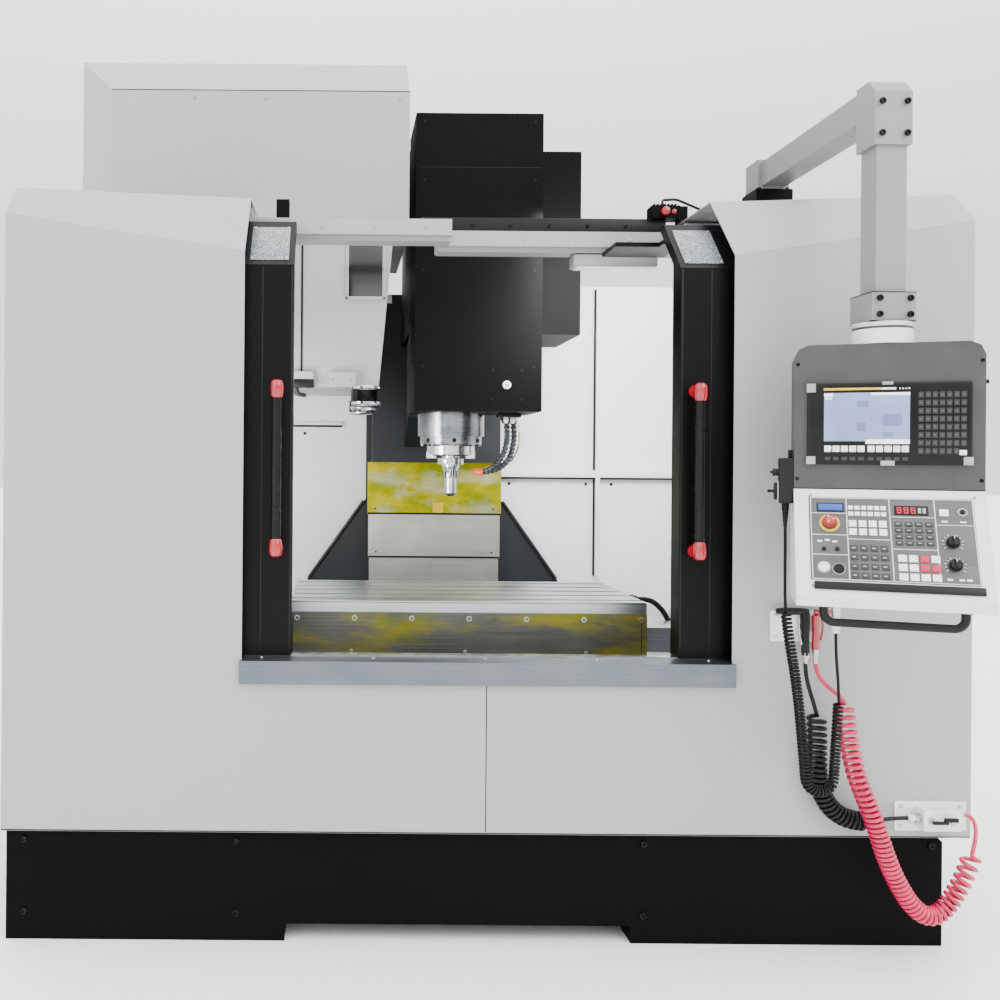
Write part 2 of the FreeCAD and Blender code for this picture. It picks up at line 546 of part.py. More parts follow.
housing = rod("housing", ("0", "-spindle_reach", "housing_low"), "housing_radius", "cover_low-housing_low")
flange = rod("flange", ("0", "-spindle_reach", "flange_low"), "housing_radius-8", "housing_low-flange_low")
neck = rod("housing_neck", ("0", "-spindle_reach", "cover_low"), "shaft_radius+bearing_gap+11.5", "200")
bore = rod("housing_bore", ("0", "-spindle_reach", "flange_low-1"), "shaft_radius+bearing_gap", "200")
bolts = []
for index in range(8):
    angle = "%d*45" % index
    bolts.append(rod("flange_bolt_%d" % index,
                     ("(housing_radius-15)*cos(%s)" % angle, "-spindle_reach+(housing_radius-15)*sin(%s)" % angle,
                      "flange_low-5"), "4.5", "5"))
node("spindle_housing", fuse("housing_fuse", cut("housing_cut", fuse("housing_solid", housing, flange, neck),
                                                 bore), *bolts))

spindle_parts = [
    rod("spindle_shaft", ("0", "-spindle_reach", "lug_low"), "shaft_radius", "flange_low-lug_low+160"),
    rod("lug_ring", ("0", "-spindle_reach", "lug_low"), "lug_radius-2", "flange_low-lug_low-5-run_gap"),
    rod("holder_ring", ("0", "-spindle_reach", "holder_low+4"), "holder_radius", "21"),
    rod("holder_neck", ("0", "-spindle_reach", "holder_low-4"), "holder_radius-14", "lug_low-holder_low+4"),
    cone("holder_cone", ("0", "-spindle_reach", "holder_low-34"), "tool_radius-3", "holder_radius-14", "32"),
    rod("tool_shank", ("0", "-spindle_reach", "tool_tip+14"), "6", "holder_low-tool_tip-34"),
    cone("tool_point", ("0", "-spindle_reach", "tool_tip"), "0.8", "6", "14"),
    block("drive_key_left", ("-lug_radius+6", "-lug_radius+32"), ("-spindle_reach-11", "-spindle_reach+11"),
          ("lug_low-12", "lug_low+1")),
    block("drive_key_right", ("lug_radius-32", "lug_radius-6"), ("-spindle_reach-11", "-spindle_reach+11"),
          ("lug_low-12", "lug_low+1")),
]
node("tool_spindle", fuse("spindle_fuse", *spindle_parts))


def tube(points, radius, name):
    """A round tube along straight runs joined by tangent arcs, each as large as its runs allow."""
    pts = [FreeCAD.Vector(*p) for p in points]
    runs = [(b - a).Length for a, b in zip(pts, pts[1:])]
    edges, start, radii, length = [], pts[0], [], 0.0
    for i in range(1, len(pts) - 1):
        before = (pts[i] - pts[i - 1]).normalize()
        after = (pts[i + 1] - pts[i]).normalize()
        turn = before.getAngle(after)
        setback = 0.45 * min(runs[i - 1], runs[i])
        bend = setback / math.tan(turn / 2)
        radii.append(bend)
        first, last = pts[i] - before * setback, pts[i] + after * setback
        inward = (after - before).normalize()
        centre = pts[i] + inward * (bend / math.cos(turn / 2))
        middle = centre - inward * bend
        edges.append(Part.LineSegment(start, first).toShape())
        edges.append(Part.Arc(first, middle, last).toShape())
        length += (first - start).Length + bend * turn
        start = last
    edges.append(Part.LineSegment(start, pts[-1]).toShape())
    length += (pts[-1] - start).Length
    path = Part.Wire(edges)
    ring = Part.Wire([Part.Circle(pts[0], pts[1] - pts[0], radius).toShape()])
    solid = path.makePipeShell([ring], True, False)
    want = math.pi * radius * radius * length
    print("%s radii %s volume ratio %.4f" % (name, [round(r) for r in radii], solid.Volume / want))
    return solid


# two ball-and-socket coolant lines that bend from the cover to the nozzle
line_front = -size("spindle_reach") - size("housing_radius") * 0.35
x0, x1, z1 = size("line_x"), size("nozzle_x"), size("nozzle_z")
zt = size("cover_low")
lines = []
for index, (dx, dy) in enumerate(((0, 0), (26, 20))):
    route = [(x0 + dx, line_front + dy, zt - 3), (x0 + dx + 6, line_front + dy, zt - 70),
             (x0 + dx - 4, line_front + dy, z1 + 66 - index * 14), (x0 - 28 + dx * 0.6, line_front + dy, z1 + 16 - index * 6),
             (x1 + 22 + index * 4, line_front + dy, z1 - 2 + index * 4)]
    lines.append(tube(route, size("line_radius"), "coolant_line_%d" % index))
nozzle = Part.makeCone(5, 12, 34, FreeCAD.Vector(x1 - 12, line_front, z1 + 2), FreeCAD.Vector(1, 0, -0.1))
collar = Part.makeBox(74, 56, 12, FreeCAD.Vector(x0 - 24, line_front - 16, zt - 12))
whole = lines[0].fuse(lines[1]).fuse(nozzle).fuse(collar)
shape_node("coolant_lines", whole)

# ---------------------------------------------------------------- column covers
shield_lows = ["shield_one_low", "shield_two_low", "shield_three_low"]
shield_tops = ["head_rear_low-run_gap", "shield_one_low+shield_lap*1.8", "shield_two_low+shield_lap*2.2"]
for index in range(3):
    depth = "shield_back-(%d)*(shield_skin+shield_gap)" % (2 - index)
    front = depth + "-shield_skin"
    half = "shield_half-(%d)*(shield_skin+1)" % index
    plate = block("shield_plate_%d" % index, ("-(%s)" % half, half), (front, depth),
                  (shield_lows[index], shield_tops[index]))
    node("z_cover_%d" % (index + 1), plate)

# ---------------------------------------------------------------- tool changer
foot_outer = [("-guard_left", "-guard_front"), ("-guard_right", "-guard_front"), ("-guard_right", "guard_back"),
              ("-guard_left_rear", "guard_back"), ("-guard_left_rear", "-guard_bend")]
foot_inner = [("-guard_left+skin", "-guard_front+skin"), ("-guard_right-skin", "-guard_front+skin"),
              ("-guard_right-skin", "guard_back+1"), ("-guard_left_rear+skin", "guard_back+1"),
              ("-guard_left_rear+skin", "-guard_bend+skin")]
side_outer = [("-guard_front", "roof_height"), ("-guard_front", "guard_shoulder"), ("-guard_bend", "guard_top"),
              ("guard_back", "guard_top"), ("guard_back", "roof_height")][::-1]
side_inner = [("-guard_front+skin", "roof_height+skin"), ("-guard_front+skin", "guard_shoulder-0.5*skin"),
              ("-guard_bend+0.3*skin", "guard_top-skin"), ("guard_back+1", "guard_top-skin"),
              ("guard_back+1", "roof_height+skin")][::-1]
shell_outer = common("guard_outer", prism("guard_plan", "z", foot_outer, "roof_height", "guard_top"),
                     prism("guard_side", "x", side_outer, "-guard_left_rear", "-guard_right"))
shell_inner = common("guard_inner", prism("guard_plan_in", "z", foot_inner, "roof_height+skin", "guard_top"),
                     prism("guard_side_in", "x", side_inner, "-guard_left_rear", "-guard_right"))
neck_hole = block("guard_neck_hole", ("-inner_left+10", "-inner_right-10"),
                  ("-guard_front+20", "-guard_front+inner_depth-10"), ("roof_height-1", "roof_height+skin+1"))
shell = cut("guard_shell", shell_outer, shell_inner, neck_hole)
bracket = fuse("guard_bracket",
               block("bracket_beam", ("-guard_left+40", "-guard_right-40"), ("guard_back", "guard_back+60"),
                     ("roof_height-60", "roof_height+60")),
               block("bracket_arm", ("-column_half-90", "-column_half"), ("guard_back+60", "column_face+200"),
                     ("roof_height-200", "roof_height+20")),
               block("bracket_hub", ("-disc_x-170", "-disc_x-120"), ("-disc_reach-40", "guard_back"),
                     ("disc_z-40", "disc_z+40")),
               block("bracket_post", ("-disc_x-170", "-disc_x-120"), ("guard_back", "guard_back+60"),
                     ("roof_height+60", "disc_z+40")),
               rod("bracket_pin", ("-disc_x-120", "-disc_reach", "disc_z"), "19.95", "100", "x"))
node("magazine_guard", group("guard_pieces", shell, bracket))

inner_points = [("-inner_left", "inner_low"), ("-inner_right-inner_taper", "inner_low"),
                ("-inner_right", "roof_height"), ("-inner_left", "roof_height")]
inner_room = [("-inner_left+skin", "inner_low-1"), ("-inner_right-inner_taper-skin", "inner_low-1"),
              ("-inner_right-skin", "roof_height+1"), ("-inner_left+skin", "roof_height+1")]
inner_front, inner_back = "-guard_front", "-guard_front+inner_depth"
inner_shell = cut("inner_cut", prism("inner_solid", "y", inner_points, inner_front, inner_back),
                  prism("inner_space", "y", inner_room, inner_front + "+skin", inner_back + "-skin"))
pivot = ("-arm_pivot_x", "-arm_pivot_reach")
yoke = cut("arm_yoke", block("arm_yoke_block", ("-inner_left+skin", "-inner_right-inner_taper-skin"),
                             ("-arm_pivot_reach-70", "-arm_pivot_reach+70"), ("inner_low+4", "inner_low+44")),
           rod("yoke_bore", pivot + ("inner_low",), "24.05", "60"))
trim_box = block("trim_box", ("-402", "-320"), ("-guard_front-28", "-guard_front"), ("inner_low", "inner_low+44"))
bracket_low = block("pot_bracket", ("-inner_left+6", "-inner_left+70"), ("-guard_front-24", "-guard_front"),
                    ("inner_low+6", "inner_low+46"))
node("magazine_cover", group("inner_group", fuse("inner_fuse", inner_shell, trim_box, bracket_low), yoke))

arm_solid = fuse("arm_fuse",
                 block("arm_bar", ("-arm_pivot_x-arm_width/2", "-arm_pivot_x+arm_width/2"),
                       ("-arm_pivot_reach-arm_half", "-arm_pivot_reach+arm_half"), ("arm_low", "arm_high")),
                 rod("arm_grip_front", ("-arm_pivot_x", "-arm_pivot_reach-arm_half", "arm_low"), "43", "40"),
                 rod("arm_grip_rear", ("-arm_pivot_x", "-arm_pivot_reach+arm_half", "arm_low"), "43", "40"),
                 rod("arm_hub", pivot + ("arm_low",), "41", "inner_low-arm_low-run_gap"),
                 rod("arm_shaft", pivot + ("arm_low",), "24", "110"))
grip_holes = [rod("grip_hole_front", ("-arm_pivot_x", "-arm_pivot_reach-arm_half", "arm_low-1"), "30", "60"),
              rod("grip_hole_rear", ("-arm_pivot_x", "-arm_pivot_reach+arm_half", "arm_low-1"), "30", "60"),
              block("grip_gap_front", ("-arm_pivot_x-28", "-arm_pivot_x+50"),
                    ("-arm_pivot_reach-arm_half-60", "-arm_pivot_reach-arm_half"), ("arm_low-1", "arm_low+60")),
              block("grip_gap_rear", ("-arm_pivot_x-50", "-arm_pivot_x+28"),
                    ("-arm_pivot_reach+arm_half", "-arm_pivot_reach+arm_half+60"), ("arm_low-1", "arm_low+60"))]
node("atc_arm", cut("arm_cut", arm_solid, *grip_holes))

disc = rod("disc_plate", ("-disc_x-20", "-disc_reach", "disc_z"), "disc_radius-pot_radius-4", "26", "x")
disc_hub = rod("disc_hub", ("-disc_x-60", "-disc_reach", "disc_z"), "44", "70", "x")
pots = [rod("pot_%d" % index, ("-disc_x-60", "-disc_reach+(disc_radius-pot_radius-8)*cos(%d*30)" % index,
                               "disc_z+(disc_radius-pot_radius-8)*sin(%d*30)" % index),
            "pot_radius", "100", "x") for index in range(12)]
disc_bore = rod("disc_bore", ("-disc_x-61", "-disc_reach", "disc_z"), "20", "60", "x")
node("magazine_disc", cut("disc_cut", fuse("disc_fuse", disc, disc_hub, *pots), disc_bore))

# ---------------------------------------------------------------- rear and side units
cab_front = "plinth_rear"
cab_xs = ("-cabinet_width/2", "cabinet_width/2")
cab_solid = block("cabinet_solid", cab_xs, (cab_front, cab_front + "+cabinet_depth"), ("cabinet_low", "cabinet_high"))
cab_room = block("cabinet_room", ("-cabinet_width/2+skin", "cabinet_width/2-skin"),
                 (cab_front + "+skin", cab_front + "+cabinet_depth+1"), ("cabinet_low+skin", "cabinet_high-skin"))
cab_plate = block("cabinet_plate", ("-cabinet_width/2+60", "cabinet_width/2-60"),
                  (cab_front + "+skin", cab_front + "+30"), ("cabinet_low+80", "cabinet_high-80"))
cab_drives = [block("drive_%d" % index, ("-cabinet_width/2+100+%d*150" % index, "-cabinet_width/2+220+%d*150" % index),
                    (cab_front + "+30", cab_front + "+190"), ("cabinet_high-620", "cabinet_high-220"))
              for index in range(5)]
cab_brackets = [block("cabinet_bracket_%d" % index, ("%d*(column_half-30)-25" % sign, "%d*(column_half-30)+25" % sign),
                      (column_rear, cab_front), ("cabinet_low+300+%d*700" % level, "cabinet_low+380+%d*700" % level))
                for index, (sign, level) in enumerate(((-1, 0), (1, 0), (-1, 1), (1, 1)))]
node("electrical_cabinet", fuse("cabinet_fuse", cut("cabinet_cut", cab_solid, cab_room), cab_plate,
                                *(cab_drives + cab_brackets)))
door_y = cab_front + "+cabinet_depth"
node("rear_door", fuse("rear_door_fuse",
                       block("rear_leaf", cab_xs, (door_y + "+run_gap", door_y + "+run_gap+22"),
                             ("cabinet_low", "cabinet_high")),
                       rod("rear_knob", ("-cabinet_width/2+50", door_y + "+22", "1050"), "22", "26", "y"),
                       block("rear_lever", ("-cabinet_width/2+40", "-cabinet_width/2+60"),
                             (door_y + "+44", door_y + "+56"), ("960", "1060"))))

tank_solid = block("tank_solid", ("-tank_left", "-enclosure_half"), ("-500", "700"), ("tank_low", "tank_high"))
tank_feet = [block("tank_foot_%d" % index, ("-tank_left+10", "-enclosure_half-10"), (at, at + "+60"), ("0", "tank_low"))
             for index, at in enumerate(("-480", "620"))]
pump = rod("pump_body", ("-tank_left+65", "560", "tank_high"), "52", "210")
pump_cap = rod("pump_cap", ("-tank_left+65", "560", "tank_high+210"), "44", "40")
tank_void = block("tank_void", ("-tank_left+skin", "-enclosure_half-skin"), ("-500+skin", "700-skin"),
                  ("tank_low+skin", "tank_high-30"))
tank_mouth = block("tank_mouth", ("-tank_left+30", "-enclosure_half-30"), ("-440", "-240"),
                   ("tank_high-40", "tank_high+1"))
node("coolant_tank", group("tank_group", fuse("tank_fuse", cut("tank_cut", tank_solid, tank_void, tank_mouth),
                                              *tank_feet), fuse("pump_fuse", pump, pump_cap)))

# ---------------------------------------------------------------- pendant arm
tube_low, tube_high = "tube_z-tube_size/2", "tube_z+tube_size/2"
arm_front = "-pendant_reach"
turret = block("arm_turret", (base_x + "-base_size/2+8", base_x + "+base_size/2-8"),
               ("-arm_base_reach-base_size/2+8", "-arm_base_reach+base_size/2-8"),
               ("base_high+run_gap", "tube_z+tube_size/2+8"))
beam = block("arm_beam", ("arm_x-tube_size/2", "arm_x+tube_size/2"), (arm_front, "-arm_base_reach"),
             (tube_low, tube_high))
elbow_points = [("-pendant_reach-elbow_size/2", "elbow_low"), ("-pendant_reach+elbow_size/2", "elbow_low"),
                ("-pendant_reach+elbow_size/2", "elbow_top"), ("-pendant_reach-elbow_size/2+30", "elbow_top"),
                ("-pendant_reach-elbow_size/2", "elbow_top-30")]
elbow = prism("arm_elbow", "x", elbow_points, "arm_x-elbow_size/2", "arm_x+elbow_size/2")
drop = block("arm_drop", ("arm_x-tube_size/2", "arm_x+tube_size/2"),
             ("-pendant_reach-tube_size/2", "-pendant_reach+tube_size/2"), ("clamp_high", "elbow_low+10"))
clamp = block("arm_clamp", ("arm_x-clamp_size/2", "arm_x+clamp_size/2"),
              ("-pendant_reach-clamp_size/2", "-pendant_reach+clamp_size/2"), ("clamp_low", "clamp_high"))
arm_bolts = []
for tag, xs, zs, face in (("elbow", 28, (("elbow_low+24"), ("elbow_top-54")), "-pendant_reach-elbow_size/2-6"),
                          ("clamp", 34, (("clamp_low+14"), ("clamp_high-14")), "-pendant_reach-clamp_size/2-6")):
    for i, dx in enumerate((-xs, xs)):
        for j, z in enumerate(zs):
            arm_bolts.append(rod("%s_bolt_%d%d" % (tag, i, j), ("arm_x+(%d)" % dx, face, z), "7", "8", "y"))
node("pendant_arm", fuse("pendant_arm_fuse", turret, beam, elbow, drop, clamp, *arm_bolts))

# ---------------------------------------------------------------- pendant
# Local frame: origin on the swivel axis at floor height, X to the operator's right, -Y to the operator.
pendant_place = FreeCAD.Placement(FreeCAD.Vector(size("arm_x"), -size("pendant_reach"), 0),
                                  FreeCAD.Rotation(FreeCAD.Vector(0, 0, 1), -size("pendant_yaw")))
left_edge, right_edge = "pendant_shift-pendant_width/2", "pendant_shift+pendant_width/2"
front_face = "-case_depth/2"


def on_pendant(name, obj):
    obj.Placement = pendant_place
    return node(name, obj)


case_outline = [(left_edge, "case_low"), (right_edge, "case_low"), (right_edge, "collar_low-case_round"),
                (right_edge + "-0.3*case_round", "collar_low-0.3*case_round"),
                (right_edge + "-case_round", "collar_low"), (left_edge + "+case_round", "collar_low"),
                (left_edge + "+0.3*case_round", "collar_low-0.3*case_round"), (left_edge, "collar_low-case_round")]
case_solid = prism("case_solid", "y", case_outline, front_face, "case_depth/2")
case_room = block("case_room", (left_edge + "+skin", right_edge + "-skin"), (front_face + "+skin", "case_depth/2-skin"),
                  ("case_low-1", "collar_low-case_round"))
collar_rod = rod("collar_rod", ("0", "0", "collar_low"), "collar_radius", "clamp_low-collar_low-run_gap")
on_pendant("pendant_case", fuse("case_fuse", cut("case_cut", case_solid, case_room), collar_rod))

reach, drop_z = size("console_reach"), size("case_low") - size("console_low") - size("console_nose")
half_depth = size("case_depth") / 2
face_run = reach - half_depth
face_angle = math.degrees(math.atan2(face_run, drop_z))
face_length = math.hypot(face_run, drop_z)
console_outline = [(front_face, "case_low"), ("-console_reach", "console_low+console_nose"),
                   ("-console_reach", "console_low"), ("case_depth/2", "console_low"), ("case_depth/2", "case_low")]
console_solid = prism("console_solid", "x", console_outline, left_edge, right_edge)
# Face frame: X across, Y up the slope from its lower edge, Z out of the face.
face_place = FreeCAD.Placement(
    FreeCAD.Vector(size("pendant_shift") - size("pendant_width") / 2, -reach, size("console_low") + size("console_nose")),
    FreeCAD.Rotation(FreeCAD.Vector(1, 0, 0), 90 - face_angle))
pocket_depth = 14


def on_face(obj):
    obj.Placement = face_place
    return obj


controls = {"stop": (70.9, 174.7, size("stop_radius")),
            "white": (56.4, 67.4, size("white_radius")), "black": (85.8, 65.0, size("black_radius"))}
pockets = []
for key, (across, up, radius) in controls.items():
    pockets.append(rod("pocket_" + key, (across, up, -pocket_depth), radius + 0.3, pocket_depth + 5))
pocket_group = on_face(group("pocket_group", *pockets))
console_room = prism("console_room", "x", [("-case_depth/2+skin", "case_low+1"), ("-case_depth/2+skin", "case_low-30"),
                     ("-console_reach+60", "console_low+30"), ("case_depth/2-skin", "console_low+30"),
                     ("case_depth/2-skin", "case_low+1")], left_edge + "+skin", right_edge + "-skin")
console_gland = rod("console_gland", ("-89.5", "13", "console_low-84"), "9", "86")
on_pendant("pendant_console", fuse("console_fuse", cut("console_cut", console_solid, console_room, pocket_group),
                                   console_gland))

unit_left = "pendant_shift-unit_width/2"
unit = block("unit_frame", (unit_left, unit_left + "+unit_width"), (front_face + "-unit_proud", front_face),
             ("unit_low", "unit_low+unit_height"))
screen = block("unit_screen", (unit_left + "+34", unit_left + "+34+screen_width"),
               (front_face + "-unit_proud-1.5", front_face + "-unit_proud"),
               ("unit_low+unit_height-22-screen_height", "unit_low+unit_height-22"))
keys = []
for column_index in range(6):
    for row_index in range(7):
        keys.append(block("unit_key_%d_%d" % (column_index, row_index),
                          (unit_left + "+226+%d*15.5" % column_index, unit_left + "+226+%d*15.5+12" % column_index),
                          (front_face + "-unit_proud-2", front_face + "-unit_proud"),
                          ("unit_low+26+%d*20.5" % row_index, "unit_low+26+%d*20.5+14" % row_index)))
on_pendant("cnc_unit", group("unit_group", unit, screen, *keys))

pads = []
for tag, first, up, columns, rows, pitch, rise, wide, tall in (
        ("small", 109, 194, 6, 2, 12.9, 15, 10.5, 10), ("white", 109, 147, 4, 2, 19.8, 20, 15.5, 16),
        ("axis", 110, 44, 4, 4, 19.7, 21.5, 15, 14), ("mode", 199, 126, 4, 4, 19.7, 15, 15, 10.5),
        ("run", 201, 44, 4, 3, 20.8, 21.5, 17, 16.5), ("switch", 286, 196, 2, 1, 32, 20, 18, 12)):
    for i in range(columns):
        for j in range(rows):
            pads.append(block("%s_key_%d%d" % (tag, i, j),
                              (str(first + i * pitch), str(first + i * pitch + wide)),
                              (str(up + j * rise), str(up + j * rise + tall)), ("0", "3")))
pads.append(block("display_pad", ("48.6", "98"), ("205", "223"), ("0", "3")))
pads.append(block("digit_pad", ("202", "264"), ("200", "219"), ("0", "3")))
stop_ring = cut("stop_ring", rod("stop_ring_disc", (controls["stop"][0], controls["stop"][1], "0"),
                                 "stop_radius+7", "3"),
                rod("stop_ring_hole", (controls["stop"][0], controls["stop"][1], "-1"), "stop_radius+0.3", "6"))
pads.append(stop_ring)
pad_group = group("pad_group", *pads)
pad_group.Placement = pendant_place.multiply(face_place)
node("console_keys", pad_group)


def on_console(name, *shapes):
    obj = shapes[0] if len(shapes) == 1 else fuse(name + "_fuse", *shapes)
    holder = group(name + "_group", obj)
    holder.Placement = pendant_place.multiply(face_place)
    return node(name, holder)


on_console("e_stop_button",
           rod("stop_stem", (controls["stop"][0], controls["stop"][1], -pocket_depth + 6), "stop_radius", "24"),
           cone("stop_head", (controls["stop"][0], controls["stop"][1], "16"), "stop_radius", "stop_radius-5", "9"))
on_console("push_white", rod("white_stem", (controls["white"][0], controls["white"][1], -pocket_depth + 6),
                             "white_radius", "15"))
on_console("push_black", rod("black_stem", (controls["black"][0], controls["black"][1], -pocket_depth + 6),
                             "black_radius", "15"))
for side, across, up in (("upper", 307, 135), ("lower", 307.6, 82)):
    on_console("knob_" + side, rod(side + "_knob", (across, up, "run_gap"), "knob_radius", "14"),
               block(side + "_knob_fin", (str(across - 3), str(across + 3)), (str(up - 11), str(up + 11)),
                     ("13", "20")))

grip_z = size("console_low") - 36
hx0, hx1 = size("pendant_shift") - size("pendant_width") / 2 + 56, size("pendant_shift") + size("pendant_width") / 2 - 53
hy = -reach + 26
grip_route = [(hx0, hy, size("console_low")), (hx0, hy, grip_z), (hx1, hy, grip_z), (hx1, hy, size("console_low"))]
pts = [FreeCAD.Vector(*p) for p in grip_route]
bend = 22.0
edges = [Part.LineSegment(pts[0], pts[1] + FreeCAD.Vector(0, 0, bend)).toShape(),
         Part.Arc(pts[1] + FreeCAD.Vector(0, 0, bend), pts[1] + FreeCAD.Vector(bend * 0.2929, 0, bend * 0.2929),
                  pts[1] + FreeCAD.Vector(bend, 0, 0)).toShape(),
         Part.LineSegment(pts[1] + FreeCAD.Vector(bend, 0, 0), pts[2] - FreeCAD.Vector(bend, 0, 0)).toShape(),
         Part.Arc(pts[2] - FreeCAD.Vector(bend, 0, 0), pts[2] + FreeCAD.Vector(-bend * 0.2929, 0, bend * 0.2929),
                  pts[2] + FreeCAD.Vector(0, 0, bend)).toShape(),
         Part.LineSegment(pts[2] + FreeCAD.Vector(0, 0, bend), pts[3]).toShape()]
grip_ring = Part.Wire([Part.Circle(pts[0], FreeCAD.Vector(0, 0, -1), 9).toShape()])
grip = Part.Wire(edges).makePipeShell([grip_ring], True, False)
grip_node = shape_node("pendant_handle", grip)
grip_node.Placement = pendant_place

# handwheel box hooked on the pendant's left side, its face to the left
mpg_side = "pendant_shift-pendant_width/2"
mpg_face = mpg_side + "-mpg_thick"
mpg_y = "-case_depth/2-3"
mpg_mid_y = mpg_y + "+mpg_deep/2"
relief_x = mpg_side + "-mpg_thick/2"
on_pendant("mpg_case", fuse("mpg_fuse",
                            block("mpg_box", (mpg_face, mpg_side), (mpg_y, mpg_y + "+mpg_deep"),
                                  ("mpg_low", "mpg_high")),
                            rod("mpg_relief", (relief_x, mpg_mid_y, "mpg_low-56"), "5.5", "58"),
                            rod("mpg_selector", (mpg_face + "-17", mpg_mid_y, "mpg_high-33"), "6", "18", "x")))
on_pendant("mpg_wheel", fuse("mpg_wheel_fuse",
                             rod("mpg_disc", (mpg_face + "-run_gap-9", mpg_mid_y, "mpg_low+27"), "wheel_radius",
                                 "9", "x"),
                             rod("mpg_peg", (mpg_face + "-run_gap-22", mpg_mid_y, "mpg_low+27+wheel_radius-7"),
                                 "4", "14", "x")))

# ---------------------------------------------------------------- guns, brackets and hoses
gun_y, gun_front = "-front_reach-28", "-front_reach-28+10"
gun_plate = block("gun_plate", ("700", "820"), ("-front_reach-4", "-front_reach"), ("765", "840"))
gun_hook = block("gun_hook", ("706", "814"), (gun_front + "+run_gap", "-front_reach-4"), ("792", "830"))
manifold_plate = block("manifold_plate", ("1010", "1186"), ("-front_reach-4", "-front_reach"), ("300", "372"))
manifold_block = block("manifold_block", ("1060", "1150"), ("-front_reach-44", "-front_reach-4"), ("312", "362"))
black_fitting = rod("black_fitting", ("1030", "-front_reach-24", "338"), "9", "30", "x")
red_fitting = rod("red_fitting", ("1150", "-front_reach-30", "350"), "7", "12", "x")
node("hose_brackets", group("hose_group", fuse("gun_bracket", gun_plate, gun_hook),
                            fuse("manifold", manifold_plate, manifold_block, black_fitting, red_fitting)))
gun_black = fuse("gun_black", rod("black_grip", ("775", gun_y, "735"), "10", "105"),
                 rod("black_tail", ("775", gun_y, "716"), "7", "20"),
                 rod("black_barrel", ("702", gun_y, "843"), "9", "80", "x"))
gun_red = fuse("gun_red", rod("red_grip", ("800", gun_y, "748"), "10", "92"),
               rod("red_tail", ("800", gun_y, "716"), "6", "34"),
               rod("red_barrel", ("796", gun_y, "842"), "7", "44", "x"))
node("wash_guns", group("gun_group", gun_black, gun_red))

cord_start = pendant_place.multVec(FreeCAD.Vector(
    size("pendant_shift") - size("pendant_width") / 2 - size("mpg_thick") / 2,
    -size("case_depth") / 2 - 3 + size("mpg_deep") / 2, size("mpg_low") - 56))
cord_end = pendant_place.multVec(FreeCAD.Vector(-89.5, 13, size("console_low") - 84))
sx, sy, sz = cord_start
ex, ey, ez = cord_end
curl_top = [(666, -1266, 862), (671, -1266, 820), (679, -1266, 772), (688, -1266, 722), (695.5, -1266, 668),
            (702, -1266, 612), (707.5, -1266, 556), (712.5, -1266, 504), (715, -1266, 469), (723.8, -1266, 454),
            (739, -1266, 445), (757, -1266, 445), (772.2, -1266, 454), (780, -1266, 469), (782, -1266, 505),
            (785.5, -1266, 565), (788, -1266, 612), (789.5, -1266, 652)]
thin_one = [(sx, sy, sz), (sx + 0.6, sy - 0.4, sz - 42), (sx + 0.2, sy - 0.2, sz - 86), (sx + 0.8, sy, sz - 128),
            (sx + 0.9, sy + 0.3, sz - 162), curl_top[0]]
thin_two = [curl_top[-1], (789.5, -1266, 692), (ex + 3, ey - 1, 733), (ex + 0.5, ey, 773), (ex, ey, ez)]
one = tube(thin_one, size("cord_radius"), "mpg_cord_upper")
two = tube(thin_two, size("cord_radius"), "mpg_cord_lower")
shape_node("mpg_cord", Part.makeCompound([one, two]))
shape_node("mpg_curl", tube(curl_top, size("curl_radius"), "mpg_curl"))

black_coil = [(802, -1131, 590), (804.5, -1131, 548), (804, -1131, 504), (804.5, -1131, 462), (809, -1131, 424),
              (820, -1131, 390), (840, -1131, 361), (867, -1131, 342), (896, -1131, 333), (925, -1131, 331)]
black_one = [(775, -1128, 716), (776, -1128.4, 692), (781, -1129.5, 666), (788, -1130.5, 641), (796, -1131, 616),
             black_coil[0]]
black_two = [black_coil[-1], (950, -1129.5, 332), (976, -1126, 335), (1003, -1124.4, 337.5), (1030, -1124, 338)]
shape_node("black_hose", Part.makeCompound([tube(black_one, size("hose_radius"), "black_upper"),
                                            tube(black_two, size("hose_radius"), "black_lower")]))
shape_node("black_coil", tube(black_coil, size("coil_radius"), "black_coil"))

red_coil = [(843, -1182, 632), (849, -1183, 594), (855, -1182, 555), (861, -1182, 516), (869, -1182, 480),
            (880, -1182, 444), (892, -1182, 414), (906, -1182, 382), (919, -1182, 348), (932, -1181, 311),
            (943, -1182, 276), (957, -1182, 240), (972, -1182, 208), (990, -1182, 176), (1010, -1182, 148),
            (1034, -1182, 127), (1060, -1182, 122), (1083, -1182, 134), (1102, -1182, 157), (1118, -1182, 183),
            (1132, -1182, 210), (1144, -1182, 238), (1154, -1182, 270)]
red_one = [(800, -1128, 716), (801, -1131, 699), (806, -1140, 682), (814, -1154, 668), (826, -1169, 656),
           (837, -1178, 646), red_coil[0]]
red_two = [red_coil[-1], (1161, -1178, 289), (1170, -1169, 305), (1178, -1157, 319), (1184, -1144, 331),
           (1182, -1135, 342), (1175, -1131, 349), (1162, -1130, 350)]
shape_node("red_hose", Part.makeCompound([tube(red_one, size("air_radius"), "red_upper"),
                                          tube(red_two, size("air_radius"), "red_lower")]))
shape_node("red_coil", tube(red_coil, size("air_coil_radius"), "red_coil"))

